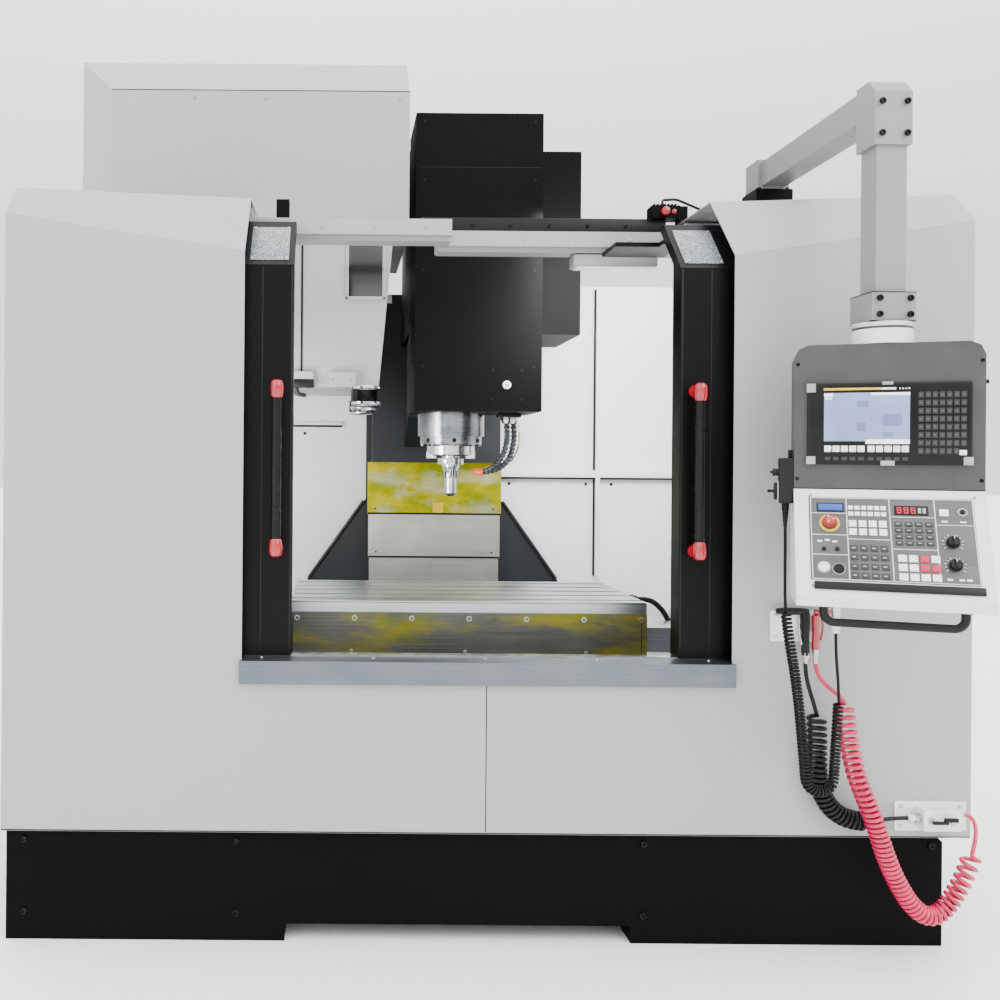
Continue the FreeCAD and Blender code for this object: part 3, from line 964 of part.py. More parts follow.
# ---------------------------------------------------------------- checks and export
doc.recompute()
bad = [o.Label for o in doc.Objects if "Invalid" in o.State or "Error" in o.State]
if bad:
    raise RuntimeError("failed objects: %s" % ", ".join(bad))
names = set()
for name, obj in NODES:
    shape = obj.Shape
    if shape.isNull() or not shape.isValid() or not shape.Solids or shape.Volume <= 0:
        raise RuntimeError("bad shape in %s" % name)
    if name in names or obj.Label != name:
        raise RuntimeError("label clash in %s: %s" % (name, obj.Label))
    names.add(name)
os.makedirs("parts", exist_ok=True)
for name, obj in NODES:
    obj.Shape.exportStep("parts/%s.step" % name)
print("%d nodes" % len(NODES))
for name, obj in NODES:
    box = obj.Shape.BoundBox
    print("%-18s %2d solids  X %7.1f %7.1f  Y %7.1f %7.1f  Z %7.1f %7.1f  V %.4f m3" % (
        name, len(obj.Shape.Solids), box.XMin, box.XMax, box.YMin, box.YMax, box.ZMin, box.ZMax,
        obj.Shape.Volume / 1e9))
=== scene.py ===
"""Looks of a CNC machining center: finishes, fittings, pendant controls and hoses on the machine frame."""
import math

import bmesh
import bpy
from mathutils import Matrix, Vector


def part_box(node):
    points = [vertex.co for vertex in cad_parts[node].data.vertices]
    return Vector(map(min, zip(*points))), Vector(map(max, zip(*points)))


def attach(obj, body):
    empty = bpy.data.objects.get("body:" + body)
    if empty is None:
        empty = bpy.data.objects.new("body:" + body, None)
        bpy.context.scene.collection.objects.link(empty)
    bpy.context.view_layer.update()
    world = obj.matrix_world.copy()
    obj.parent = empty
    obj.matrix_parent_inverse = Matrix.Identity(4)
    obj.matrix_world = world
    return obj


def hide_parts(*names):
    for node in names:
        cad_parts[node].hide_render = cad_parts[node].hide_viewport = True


bl_info = {
    "name": "CNC machining center",
    "version": (1, 0, 0),
    "blender": (4, 5, 0),
    "location": "3D View > Sidebar > Machine",
    "description": "Builds the finishes, controls and hoses of a vertical machining center",
    "category": "Object",
}

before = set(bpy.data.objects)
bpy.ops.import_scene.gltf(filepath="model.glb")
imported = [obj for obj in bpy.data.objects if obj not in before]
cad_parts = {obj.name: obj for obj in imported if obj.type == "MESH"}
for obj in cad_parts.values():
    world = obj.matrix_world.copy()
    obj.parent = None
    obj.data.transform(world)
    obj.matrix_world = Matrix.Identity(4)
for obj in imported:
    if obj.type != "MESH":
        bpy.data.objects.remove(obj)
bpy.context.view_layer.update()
MM = Matrix.Scale(0.001, 4)
# Pendant frame: origin on the swivel axis at floor height, X to the operator's right, -Y to the operator.
PENDANT = (Matrix.Translation((0.862, -1.309, 0)) @ Matrix.Rotation(math.radians(-20.8), 4, "Z") @ MM)
CASE_LEFT, HANDSET_LEFT = -185.0, -217.0
# Axes of the spindle, the change arm and the spray guns.
SPINDLE_Y, ARM_X, ARM_Y, GUN_Y = -250, -290, -360, -1128
# Console face frame: X across, Y up the slope, Z out of the face.
FACE_TILT = math.atan2(126, 229)
FACE = (PENDANT @ Matrix.Translation((CASE_LEFT, -186, 919))
        @ Matrix.Rotation(math.pi / 2 - FACE_TILT, 4, "X"))


# ---------------------------------------------------------------- colours and materials
def linear(code):
    """An sRGB hex colour as linear red, green, blue and alpha."""
    values = [int(code[i:i + 2], 16) / 255 for i in (1, 3, 5)]
    return tuple(v / 12.92 if v <= 0.04045 else ((v + 0.055) / 1.055) ** 2.4 for v in values) + (1.0,)


def add(tree, kind, links=None, into=None, stops=None, **settings):
    """Adds a node: links gives a value or another node's output for each input, stops a ramp's positions
    and colours, settings its properties, and into the input that its first output feeds."""
    made = tree.nodes.new(kind)
    for key, value in settings.items():
        setattr(made, key, value)
    for key, value in (links or {}).items():
        if isinstance(value, bpy.types.NodeSocket):
            tree.links.new(value, made.inputs[key])
        else:
            made.inputs[key].default_value = value
    for index, (at, colour) in enumerate(stops or ()):
        elements = made.color_ramp.elements
        element = elements[index] if index < len(elements) else elements.new(at)
        element.position, element.color = at, colour
    if into is not None:
        tree.links.new(made.outputs[0], into)
    return made


def per_mm(size):
    """Pattern scale that makes one feature this many millimetres across."""
    return 1000.0 / size


def blank(name, **sockets):
    """A new material with its tree, shader and object coordinates."""
    finish = bpy.data.materials.new(name)
    finish.use_nodes = True
    tree = finish.node_tree
    shader = tree.nodes["Principled BSDF"]
    for key, value in sockets.items():
        shader.inputs[key.replace("_", " ")].default_value = value
    place = add(tree, "ShaderNodeTexCoord").outputs["Object"]
    return finish, tree, shader, place


def coat(name, light, dark, rough=0.45, peel=2.5, depth=0.12, cloud=700, shine=0.5):
    """Powder-coated sheet: an even satin colour, faint orange peel, and slow tone drift from handling."""
    finish, tree, shader, place = blank(name, IOR=1.5, Specular_IOR_Level=shine)
    drift = add(tree, "ShaderNodeTexNoise", {"Vector": place, "Scale": per_mm(cloud), "Detail": 4.0})
    add(tree, "ShaderNodeValToRGB", {"Fac": drift.outputs["Fac"]}, shader.inputs["Base Color"],
        ((0.32, dark), (0.68, light)))
    skin = add(tree, "ShaderNodeTexNoise", {"Vector": place, "Scale": per_mm(peel), "Detail": 2.0})
    add(tree, "ShaderNodeBump", {"Height": skin.outputs["Fac"], "Strength": 0.6, "Distance": depth / 1000},
        shader.inputs["Normal"])
    wipe = add(tree, "ShaderNodeTexNoise", {"Vector": place, "Scale": per_mm(180), "Detail": 5.0})
    add(tree, "ShaderNodeMapRange", {"Value": wipe.outputs["Fac"], "To Min": rough - 0.06,
                                     "To Max": rough + 0.08},
        shader.inputs["Roughness"])
    return finish


def metal(name, light, dark, rough=0.3, line=(60, 60, 1.2), depth=0.03, cloud=160, oil=None):
    """Bare steel or iron: fine lines left by the grinding belt or cutter, and cloudy handling marks.
    line is the length of one scratch along X, Y and Z in mm; 1.2 mm is as fine as shows from here.
    oil adds the yellow-green stain of rust-preventive oil in long smears."""
    finish, tree, shader, place = blank(name, Metallic=1.0)
    lay = add(tree, "ShaderNodeMapping", {"Vector": place, "Scale": [per_mm(size) for size in line]})
    marks = add(tree, "ShaderNodeTexNoise", {"Vector": lay.outputs["Vector"], "Scale": 1.0, "Detail": 3.0})
    cloudy = add(tree, "ShaderNodeTexNoise", {"Vector": place, "Scale": per_mm(cloud), "Detail": 6.0})
    both = add(tree, "ShaderNodeMath", {0: marks.outputs["Fac"], 1: cloudy.outputs["Fac"]}, operation="ADD")
    half = add(tree, "ShaderNodeMath", {0: both.outputs["Value"], 1: 0.5}, operation="MULTIPLY")
    tone = add(tree, "ShaderNodeValToRGB", {"Fac": half.outputs["Value"]},
               stops=((0.38, dark), (0.62, light))).outputs["Color"]
    if oil:
        smear = add(tree, "ShaderNodeMapping", {"Vector": place, "Location": oil["at"],
                                                "Scale": [per_mm(size) for size in oil["size"]]})
        wet = add(tree, "ShaderNodeTexNoise", {"Vector": smear.outputs["Vector"], "Scale": 1.0, "Detail": 4.0,
                                               "Roughness": 0.6})
        amount = add(tree, "ShaderNodeValToRGB", {"Fac": wet.outputs["Fac"]},
                     stops=((oil["from"], (0, 0, 0, 1)), (oil["to"], (1, 1, 1, 1)))).outputs["Color"]
        hue = add(tree, "ShaderNodeTexNoise", {"Vector": smear.outputs["Vector"], "Scale": 2.3,
                                               "Detail": 2.0})
        stain = add(tree, "ShaderNodeValToRGB", {"Fac": hue.outputs["Fac"]},
                    stops=((0.35, linear("#a59a00")), (0.65, linear("#7c8400")))).outputs["Color"]
        mixed = add(tree, "ShaderNodeMix", {0: amount, 6: tone, 7: stain}, data_type="RGBA")
        tone = mixed.outputs[2]
    tree.links.new(tone, shader.inputs["Base Color"])
    add(tree, "ShaderNodeMapRange", {"Value": marks.outputs["Fac"], "To Min": rough - 0.08,
                                     "To Max": rough + 0.12},
        shader.inputs["Roughness"])
    add(tree, "ShaderNodeBump", {"Height": marks.outputs["Fac"], "Strength": 0.7, "Distance": depth / 1000},
        shader.inputs["Normal"])
    return finish


def moulded(name, colour, shade, rough=0.4, grain=1.6, depth=0.05, **sockets):
    """Injection-moulded plastic or rubber: one deep colour with a fine spark-eroded grain."""
    finish, tree, shader, place = blank(name, IOR=1.49, **sockets)
    patch = add(tree, "ShaderNodeTexNoise", {"Vector": place, "Scale": per_mm(35), "Detail": 3.0})
    add(tree, "ShaderNodeValToRGB", {"Fac": patch.outputs["Fac"]}, shader.inputs["Base Color"],
        ((0.35, shade), (0.65, colour)))
    pits = add(tree, "ShaderNodeTexVoronoi", {"Vector": place, "Scale": per_mm(grain)})
    add(tree, "ShaderNodeBump", {"Height": pits.outputs["Distance"], "Strength": 0.5,
                                 "Distance": depth / 1000},
        shader.inputs["Normal"])
    add(tree, "ShaderNodeMapRange", {"Value": patch.outputs["Fac"], "To Min": rough - 0.05,
                                     "To Max": rough + 0.08},
        shader.inputs["Roughness"])
    return finish


def sheet_window(name, colour, rough=0.03, frost=None):
    """Laminated polycarbonate: clear and slightly grey, or hammered where it only lets light in."""
    finish, tree, shader, place = blank(name, IOR=1.58, Transmission_Weight=0.0 if frost else 0.9)
    haze = add(tree, "ShaderNodeTexNoise", {"Vector": place, "Scale": per_mm(frost or 240), "Detail": 3.0})
    low, high = colour
    add(tree, "ShaderNodeValToRGB", {"Fac": haze.outputs["Fac"]}, shader.inputs["Base Color"],
        ((0.42, low), (0.6, high)))
    add(tree, "ShaderNodeBump", {"Height": haze.outputs["Fac"], "Strength": 0.8 if frost else 0.2,
                                 "Distance": 0.0008 if frost else 0.00002}, shader.inputs["Normal"])
    add(tree, "ShaderNodeMapRange", {"Value": haze.outputs["Fac"], "To Min": rough, "To Max": rough + 0.12},
        shader.inputs["Roughness"])
    return finish


def lamp(name, colour, dim, strength):
    """A lit display layer behind its cover: even light with a slight cloud of the backlight."""
    finish, tree, shader, place = blank(name, Roughness=0.25, IOR=1.5, Emission_Strength=strength)
    glow = add(tree, "ShaderNodeTexNoise", {"Vector": place, "Scale": per_mm(90), "Detail": 1.0})
    for socket in ("Base Color", "Emission Color"):
        add(tree, "ShaderNodeValToRGB", {"Fac": glow.outputs["Fac"]}, shader.inputs[socket],
            ((0.3, dim), (0.7, colour)))
    return finish


FINISH = {}


def mix_finishes(settings):
    """Makes every finish of the machine once."""
    def code(value):
        return tuple(value) + (1.0,)

    def deeper(value, share):
        return tuple(v * share for v in value) + (1.0,)

    casework, black = settings.casework, settings.black
    steel = code(settings.steel)
    FINISH.update({
        "casework": coat("Powder coat light grey", code(casework), deeper(casework, 0.93), 0.42),
        "chamber": coat("Powder coat white", linear("#f4f5f3"), linear("#e6e8e6"), 0.38),
        "black": coat("Powder coat black", code(black), deeper(black, 0.7), 0.55, peel=1.8, depth=0.1,
                      cloud=400,
                      shine=0.08),
        "door": coat("Stove enamel black", deeper(black, 0.8), deeper(black, 0.5), 0.4, peel=2.2, depth=0.06,
                     cloud=500,
                     shine=0.12),
        "plinth": coat("Structure coat black", deeper(black, 1.3), deeper(black, 0.8), 0.6, peel=2.6,
                       depth=0.2, shine=0.06),
        "casting": coat("Casting paint graphite", linear("#25282c"), linear("#1b1e21"), 0.5, peel=6,
                        depth=0.3, shine=0.3),
        "arm": coat("Powder coat mid grey", linear("#7e8082"), linear("#727476"), 0.42),
        # Near-black finish of the painted shade along the column's flares.
        "edge": coat("Painted shade black", linear("#08090a"), linear("#050506"), 0.5, peel=6, depth=0.4),
        "pendant": coat("Textured enamel dark grey", linear("#37393b"), linear("#2e3032"), 0.48, peel=1.6,
                        depth=0.25, cloud=90),
        "console": coat("Textured enamel pale grey", linear("#e2e3e1"), linear("#d2d4d2"), 0.42, peel=1.6,
                        depth=0.2),
        "stainless": metal("Brushed stainless steel", steel, linear("#8d9194"), 0.34, (220, 220, 1.4)),
        "sill": metal("Brushed stainless sill", linear("#70777d"), linear("#5f666c"), 0.4, (260, 260, 1.6),
                      depth=0.01),
        "guard": metal("Oiled stainless sheet", linear("#6f706a"), linear("#565752"), 0.46, (260, 260, 2.2),
                       depth=0.01,
                       cloud=160, oil={"at": (1.3, 0, 0.4), "size": (330, 400, 95), "from": 0.5, "to": 0.7}),
        "way_cover": metal("Oiled way cover", linear("#b5b7ab"), linear("#9c9e93"), 0.42, (240, 240, 2.0),
                           depth=0.01,
                           cloud=120, oil={"at": (0.2, 0, 0.35), "size": (190, 300, 110), "from": 0.22,
                                           "to": 0.5}),
        "way_steel": metal("Way cover steel", linear("#b9bbb3"), linear("#a1a39b"), 0.42, (240, 240, 2.0),
                           depth=0.01,
                           cloud=130),
        "table": metal("Ground cast iron", linear("#c3c7ca"), linear("#a9adb0"), 0.3, (160, 160, 2.4),
                       depth=0.008),
        "turned": metal("Turned steel", linear("#9a9da0"), linear("#6a6e72"), 0.22, (40, 40, 1.2), cloud=60),
        "ground": metal("Hard-chromed steel", linear("#e2e4e4"), linear("#b0b4b5"), 0.16, (30, 30, 2.0),
                        cloud=40),
        "zinc": metal("Zinc-plated screw steel", linear("#d0d2d0"), linear("#9c9f9e"), 0.28, (4, 4, 4),
                      cloud=12),
        "oxide": metal("Black-oxide screw steel", linear("#2b2c2d"), linear("#151617"), 0.42, (6, 6, 6),
                       cloud=12),
        "rubber": moulded("Nitrile rubber", linear("#0a0b0b"), linear("#070707"), 0.62, 2.0, 0.08,
                          Specular_IOR_Level=0.25),
        "plastic": moulded("ABS black", linear("#0b0c0d"), linear("#070808"), 0.42, 1.4,
                           Specular_IOR_Level=0.25),
        "bezel": moulded("Gloss bezel black", linear("#070809"), linear("#050505"), 0.25, 1.2, 0.01,
                         Specular_IOR_Level=0.2),
        "gloss_red": moulded("Glossy nylon red", code(settings.grip_red), deeper(settings.grip_red, 0.7),
                             0.16, 3, 0.02,
                             Coat_Weight=0.6, Coat_Roughness=0.08),
        "stop_red": moulded("Stop button red", linear("#b00c14"), linear("#940a10"), 0.24, 3, 0.02,
                            Coat_Weight=0.4),
        "yellow": moulded("Stop ring yellow", linear("#d8b000"), linear("#c4a000"), 0.35, 2, 0.02),
        "key_white": moulded("Keycap white", linear("#f3f3f0"), linear("#dededa"), 0.4, 1.5, 0.02),
        "key_red": moulded("Keycap red", linear("#b8183c"), linear("#a01030"), 0.4, 1.5, 0.02),
        "key_dark": moulded("Membrane key grey", linear("#222427"), linear("#1c1e21"), 0.5, 1.5, 0.02),
        "panel": coat("Screen-printed polyester grey", linear("#4c4e50"), linear("#434547"), 0.46, peel=0.9,
                      depth=0.05, cloud=80),
        "legend": moulded("Printed white ink", linear("#dfe0df"), linear("#cfd0cf"), 0.5, 2, 0.01),
        "tab": moulded("Corner cap grey", linear("#9a9c9c"), linear("#868888"), 0.45, 1.5, 0.03),
        "brass": metal("Nickel-plated brass", linear("#c9c8c2"), linear("#97958c"), 0.22, (12, 12, 2),
                       cloud=20),
        "nozzle": moulded("Acetal orange", linear("#e2633f"), linear("#c44e2d"), 0.34, 2, 0.02),
        "segment": moulded("Acetal grey-black", linear("#3a3f45"), linear("#1b1d20"), 0.26, 3, 0.02),
        "hose_red": moulded("Polyurethane hose red", code(settings.hose_red),
                            deeper(settings.hose_red, 0.72), 0.26, 5, 0.02, Coat_Weight=0.3),
        "hose_black": moulded("Polyurethane hose black", linear("#050505"), linear("#030303"), 0.34, 5, 0.02,
                              Specular_IOR_Level=0.25),
        "cord_black": moulded("PVC cord black", linear("#060606"), linear("#040404"), 0.45, 4, 0.03,
                              Specular_IOR_Level=0.2),
        "white_plastic": moulded("Nylon white", linear("#eeeeea"), linear("#dcdcd8"), 0.36, 2, 0.02),
        "pane": sheet_window("Polycarbonate window", (linear("#cfd6d6"), linear("#dfe5e5"))),
        # Near-black frosted sheet: painted shade on the magazine cover's right part.
        "shade_pane": sheet_window("Painted shade pane", (linear("#0e1010"), linear("#1a1c1c")), 0.12,
                               frost=300),
        "hammered": sheet_window("Hammered light pane", (linear("#4b5156"), linear("#8d9499")), 0.34,
                                 frost=5),
        "screen": lamp("Liquid crystal screen", linear("#7f8ab0"), linear("#727da3"), 0.3),
        "screen_white": lamp("Screen field white", linear("#eef1f5"), linear("#e0e4ea"), 0.55),
        "screen_dark": lamp("Screen field grey", linear("#65719a"), linear("#5b6790"), 0.25),
        "display_blue": lamp("Segment display blue", linear("#0b48b0"), linear("#083c96"), 0.12),
        "display_red": lamp("Segment display red", linear("#d01a42"), linear("#b01236"), 0.25),
        "floor": coat("Sealed floor white", linear("#f6f6f5"), linear("#f1f1f0"), 0.6, peel=8, depth=0.05,
                      cloud=2000),
    })


# ---------------------------------------------------------------- shapes
def put(piece, part, where=MM, finish=0):
    """Adds a finished shape to a piece, in place, with its slot of the piece's finishes."""
    bmesh.ops.transform(part, matrix=where, verts=part.verts)
    for face in part.faces:
        face.material_index = finish
    mesh = bpy.data.meshes.new("part")
    part.to_mesh(mesh)
    part.free()
    piece.from_mesh(mesh)
    bpy.data.meshes.remove(mesh)


def block(low, high, edge=0.0, steps=2):
    """A box between two corners with its edges rounded."""
    part = bmesh.new()
    bmesh.ops.create_cube(part, size=1.0)
    sizes = [b - a for a, b in zip(low, high)]
    bmesh.ops.scale(part, vec=sizes, verts=part.verts)
    bmesh.ops.translate(part, vec=[(a + b) / 2 for a, b in zip(low, high)], verts=part.verts)
    if edge:
        bmesh.ops.bevel(part, geom=part.edges[:], offset=edge, affect="EDGES", segments=steps, profile=0.5,
                        material=-1, clamp_overlap=True)
    return part


def turned(profile, steps=32):
    """A shape turned on Z from (radius, height) points that start and end on the axis."""
    part = bmesh.new()
    verts = [part.verts.new((radius, 0, height)) for radius, height in profile]
    edges = [part.edges.new(pair) for pair in zip(verts, verts[1:])]
    bmesh.ops.spin(part, geom=verts + edges, cent=(0, 0, 0), axis=(0, 0, 1), angle=math.tau, steps=steps,
                   use_merge=True)
    bmesh.ops.remove_doubles(part, verts=part.verts, dist=0.0005)
    bmesh.ops.recalc_face_normals(part, faces=part.faces)
    return part


def button(radius, height, edge=1.0, steps=24):
    """A round button or boss that stands on Z=0 with a rounded top edge."""
    return turned([(0, 0), (radius, 0), (radius, height - edge), (radius - edge * 0.3, height - edge * 0.3),
                   (radius - edge, height), (0, height)], steps)


def ring(inner, outer, height, steps=32):
    """A flat ring that stands on Z=0."""
    part = bmesh.new()
    points = [(inner, 0), (outer, 0), (outer, height * 0.7), (outer - height * 0.3, height),
              (inner + height * 0.3, height), (inner, height * 0.7)]
    verts = [part.verts.new((radius, 0, up)) for radius, up in points]
    edges = [part.edges.new(pair) for pair in zip(verts, verts[1:] + verts[:1])]
    bmesh.ops.spin(part, geom=verts + edges, cent=(0, 0, 0), axis=(0, 0, 1), angle=math.tau, steps=steps,
                   use_merge=True)
    bmesh.ops.recalc_face_normals(part, faces=part.faces)
    return part


def screw(radius, height, steps=16):
    """A screw's head with a round recess."""
    return turned([(0, height * 0.45), (radius * 0.42, height * 0.45), (radius * 0.5, height),
                   (radius * 0.85, height), (radius, height * 0.6), (radius, 0), (0, 0)], steps)


def pipe(points, radius, fillet=0.0, sides=2):
    """A bent round bar through points, with its corners rounded to a fillet."""
    route = [Vector(points[0])]
    for before, at, after in zip(points, points[1:], points[2:]):
        before, at, after = Vector(before), Vector(at), Vector(after)
        if fillet:
            start = at + (before - at).normalized() * fillet
            end = at + (after - at).normalized() * fillet
            route += [start * (1 - t) ** 2 + at * 2 * t * (1 - t) + end * t ** 2
                      for t in [i / 6 for i in range(7)]]
        else:
            route.append(at)
    route.append(Vector(points[-1]))
    curve = bpy.data.curves.new("bar", "CURVE")
    curve.dimensions, curve.use_fill_caps = "3D", True
    curve.bevel_depth, curve.bevel_resolution = radius, sides
    spline = curve.splines.new("POLY")
    spline.points.add(len(route) - 1)
    for point, at in zip(spline.points, route):
        point.co = (*at, 1)
    holder = bpy.data.objects.new("bar", curve)
    mesh = bpy.data.meshes.new_from_object(holder)
    part = bmesh.new()
    part.from_mesh(mesh)
    bpy.data.objects.remove(holder)
    bpy.data.curves.remove(curve)
    bpy.data.meshes.remove(mesh)
    return part


def place(x, y, z, facing="z", turn=0.0):
    """Where a shape goes in mm, with its own Z turned to face -Y, +Y, +X, -X, up or down."""
    tilt = {"z": (0, "X"), "front": (90, "X"), "back": (-90, "X"), "right": (90, "Y"), "left": (-90, "Y"),
            "down": (180, "X")}[facing]
    return (Matrix.Translation((x, y, z)) @ Matrix.Rotation(math.radians(tilt[0]), 4, tilt[1])
            @ Matrix.Rotation(math.radians(turn), 4, "Z"))


def finish_piece(name, piece, body, finishes, replaces=(), smooth=32):
    """Turns a bmesh into an object with its materials that rides on a CAD body."""
    mesh = bpy.data.meshes.new(name)
    piece.to_mesh(mesh)
    piece.free()
    mesh.shade_smooth()
    mesh.set_sharp_from_angle(angle=math.radians(smooth))
    for key in finishes:
        mesh.materials.append(FINISH[key])
    made = bpy.data.objects.new(name, mesh)
    bpy.context.scene.collection.objects.link(made)
    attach(made, body)
    if replaces:
        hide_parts(*replaces)
    return made


def box_mm(node):
    """A CAD node's lowest and highest corners in mm."""
    low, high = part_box(node)
    return low * 1000, high * 1000


# ---------------------------------------------------------------- cords
def smooth_run(points):
    """Points along a smooth run that has the route's points as its control points."""
    curve = bpy.data.curves.new("run", "CURVE")
    curve.dimensions, curve.resolution_u = "3D", 24
    spline = curve.splines.new("NURBS")
    spline.points.add(len(points) - 1)
    for point, at in zip(spline.points, points):
        point.co = (*at, 1)
    spline.order_u = 3
    spline.use_endpoint_u = True
    holder = bpy.data.objects.new("run", curve)
    mesh = bpy.data.meshes.new_from_object(holder)
    line = [v.co.copy() for v in mesh.vertices]
    bpy.data.objects.remove(holder)
    bpy.data.curves.remove(curve)
    bpy.data.meshes.remove(mesh)
    return line


def coiled(line, radius, pitches, per_turn=14):
    """Winds round a line in a vertical plane that faces -Y. pitches are (share of the line, mm per turn)."""
    lengths = [0.0]
    for a, b in zip(line, line[1:]):
        lengths.append(lengths[-1] + (b - a).length)
    total, along, turn, points, index = lengths[-1], 0.0, 0.0, [], 0
    side = Vector((0, 1, 0))
    while along < total:
        while index < len(line) - 2 and lengths[index + 1] < along:
            index += 1
        share = (along - lengths[index]) / max(lengths[index + 1] - lengths[index], 1e-9)
        centre = line[index].lerp(line[index + 1], share)
        ahead = (line[min(index + 4, len(line) - 1)] - line[max(index - 3, 0)]).normalized()
        across = ahead.cross(side).normalized()
        part = along / total
        pitch = pitches[-1][1]
        for (a, low), (b, high) in zip(pitches, pitches[1:]):
            if a <= part <= b:
                pitch = low + (high - low) * (part - a) / (b - a)
        reach = radius * min(1.0, along / 0.007 + 0.05, (total - along) / 0.007 + 0.05)
        points.append(centre + (across * math.cos(turn) + side * math.sin(turn)) * reach)
        turn += math.tau / per_turn
        along += pitch / 1000 / per_turn
    return points


def hose(name, points, diameter, finish, body, replaces, fine=2):
    """A round hose or cord on one smooth spline through its points, in metres."""
    curve = bpy.data.curves.new(name, "CURVE")
    curve.dimensions, curve.resolution_u = "3D", fine
    curve.bevel_depth, curve.bevel_resolution, curve.use_fill_caps = diameter / 2, 2, True
    spline = curve.splines.new("NURBS")
    spline.points.add(len(points) - 1)
    for point, at in zip(spline.points, points):
        point.co = (*at, 1)
    spline.order_u = 3
    spline.use_endpoint_u = True
    spline.use_smooth = True
    curve.materials.append(FINISH[finish])
    made = bpy.data.objects.new(name, curve)
    bpy.context.scene.collection.objects.link(made)
    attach(made, body)
    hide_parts(*replaces)
    return made


def metres(points):
    return [Vector(point) / 1000 for point in points]


CURL = metres([(666, -1266, 862), (671, -1266, 820), (679, -1266, 772), (688, -1266, 722),
               (695.5, -1266, 668), (702, -1266, 612), (707.5, -1266, 556), (712.5, -1266, 504),
               (715, -1266, 469), (723.8, -1266, 454),
               (739, -1266, 445), (757, -1266, 445), (772.2, -1266, 454), (780, -1266, 469),
               (782, -1266, 505),
               (785.5, -1266, 565), (788, -1266, 612), (789.5, -1266, 652)])
BLACK_UPPER = metres([(775, -1128, 716), (776, -1128.4, 692), (781, -1129.5, 666), (788, -1130.5, 641),
                      (796, -1131, 616)])
BLACK_COIL = metres([(802, -1131, 590), (804.5, -1131, 548), (804, -1131, 504), (804.5, -1131, 462),
                     (809, -1131, 424), (820, -1131, 390), (840, -1131, 361), (867, -1131, 342),
                     (896, -1131, 333),
                     (925, -1131, 331)])
BLACK_LOWER = metres([(950, -1129.5, 332), (976, -1126, 335), (1003, -1124.4, 337.5), (1030, -1124, 338)])
RED_UPPER = metres([(800, -1128, 716), (801, -1131, 699), (806, -1140, 682), (814, -1154, 668),
                    (826, -1169, 656),
                    (837, -1178, 646)])
RED_COIL = metres([(843, -1182, 632), (849, -1183, 594), (855, -1182, 555), (861, -1182, 516),
                   (869, -1182, 480),
                   (880, -1182, 444), (892, -1182, 414), (906, -1182, 382), (919, -1182, 348),
                   (932, -1181, 311),
                   (943, -1182, 276), (957, -1182, 240), (972, -1182, 208), (990, -1182, 176),
                   (1010, -1182, 148),
                   (1034, -1182, 127), (1060, -1182, 122), (1083, -1182, 134), (1102, -1182, 157),
                   (1118, -1182, 183), (1132, -1182, 210), (1144, -1182, 238), (1154, -1182, 270)])
RED_LOWER = metres([(1161, -1178, 289), (1170, -1169, 305), (1178, -1157, 319), (1184, -1144, 331),
                    (1182, -1135, 342), (1175, -1131, 349), (1162, -1130, 350)])


# ---------------------------------------------------------------- settings
class CaseworkSettings(bpy.types.PropertyGroup):
    """Colours of the sheet metal, steel, grips and hoses."""

    casework: bpy.props.FloatVectorProperty(name="Casework", description="Powder coat of the outer panels",
                                            subtype="COLOR", default=linear("#9d9e9c")[:3], min=0, max=1)
    black: bpy.props.FloatVectorProperty(name="Black coat", description="Coat of the plinth, doors and head",
                                         subtype="COLOR", default=linear("#040405")[:3], min=0, max=1)
    steel: bpy.props.FloatVectorProperty(name="Stainless", description="Brushed steel of sill and guards",
                                         subtype="COLOR", default=linear("#bfc3c6")[:3], min=0, max=1)
    grip_red: bpy.props.FloatVectorProperty(name="Grip caps", description="Caps of the door handles",
                                            subtype="COLOR", default=linear("#a80520")[:3], min=0, max=1)
    hose_red: bpy.props.FloatVectorProperty(name="Air hose", description="Colour of the coiled air hose",
                                            subtype="COLOR", default=linear("#c8084a")[:3], min=0, max=1)


class HandleSettings(bpy.types.PropertyGroup):
    """Sizes of the door handles."""

    bar: bpy.props.FloatProperty(name="Bar radius", description="Radius of the grip bar", subtype="DISTANCE",
                                 unit="LENGTH", default=0.0125, min=0.006, max=0.013)
    cap: bpy.props.FloatProperty(name="Cap radius", description="Radius of the end caps", subtype="DISTANCE",
                                 unit="LENGTH", default=0.0168, min=0.01, max=0.017)
    cap_length: bpy.props.FloatProperty(name="Cap length", description="Length of an end cap", unit="LENGTH",
                                        subtype="DISTANCE", default=0.048, min=0.03, max=0.08)


class HoseSettings(bpy.types.PropertyGroup):
    """Sizes of the hoses and the handset cord."""

    air: bpy.props.FloatProperty(name="Hose diameter", description="Diameter of the air and water hoses",
                                 subtype="DISTANCE", unit="LENGTH", default=0.010, min=0.006, max=0.012)
    cord: bpy.props.FloatProperty(name="Cord diameter", description="Diameter of the handset cord",
                                  subtype="DISTANCE", unit="LENGTH", default=0.007, min=0.004, max=0.008)
    air_coil: bpy.props.FloatProperty(name="Air coil radius", description="Outer radius of the air coil",
                                      subtype="DISTANCE", unit="LENGTH", default=0.024, min=0.015, max=0.024)
    black_coil: bpy.props.FloatProperty(name="Water coil radius",
                                        description="Outer radius of the water coil",
                                        subtype="DISTANCE", unit="LENGTH", default=0.025, min=0.015,
                                        max=0.025)


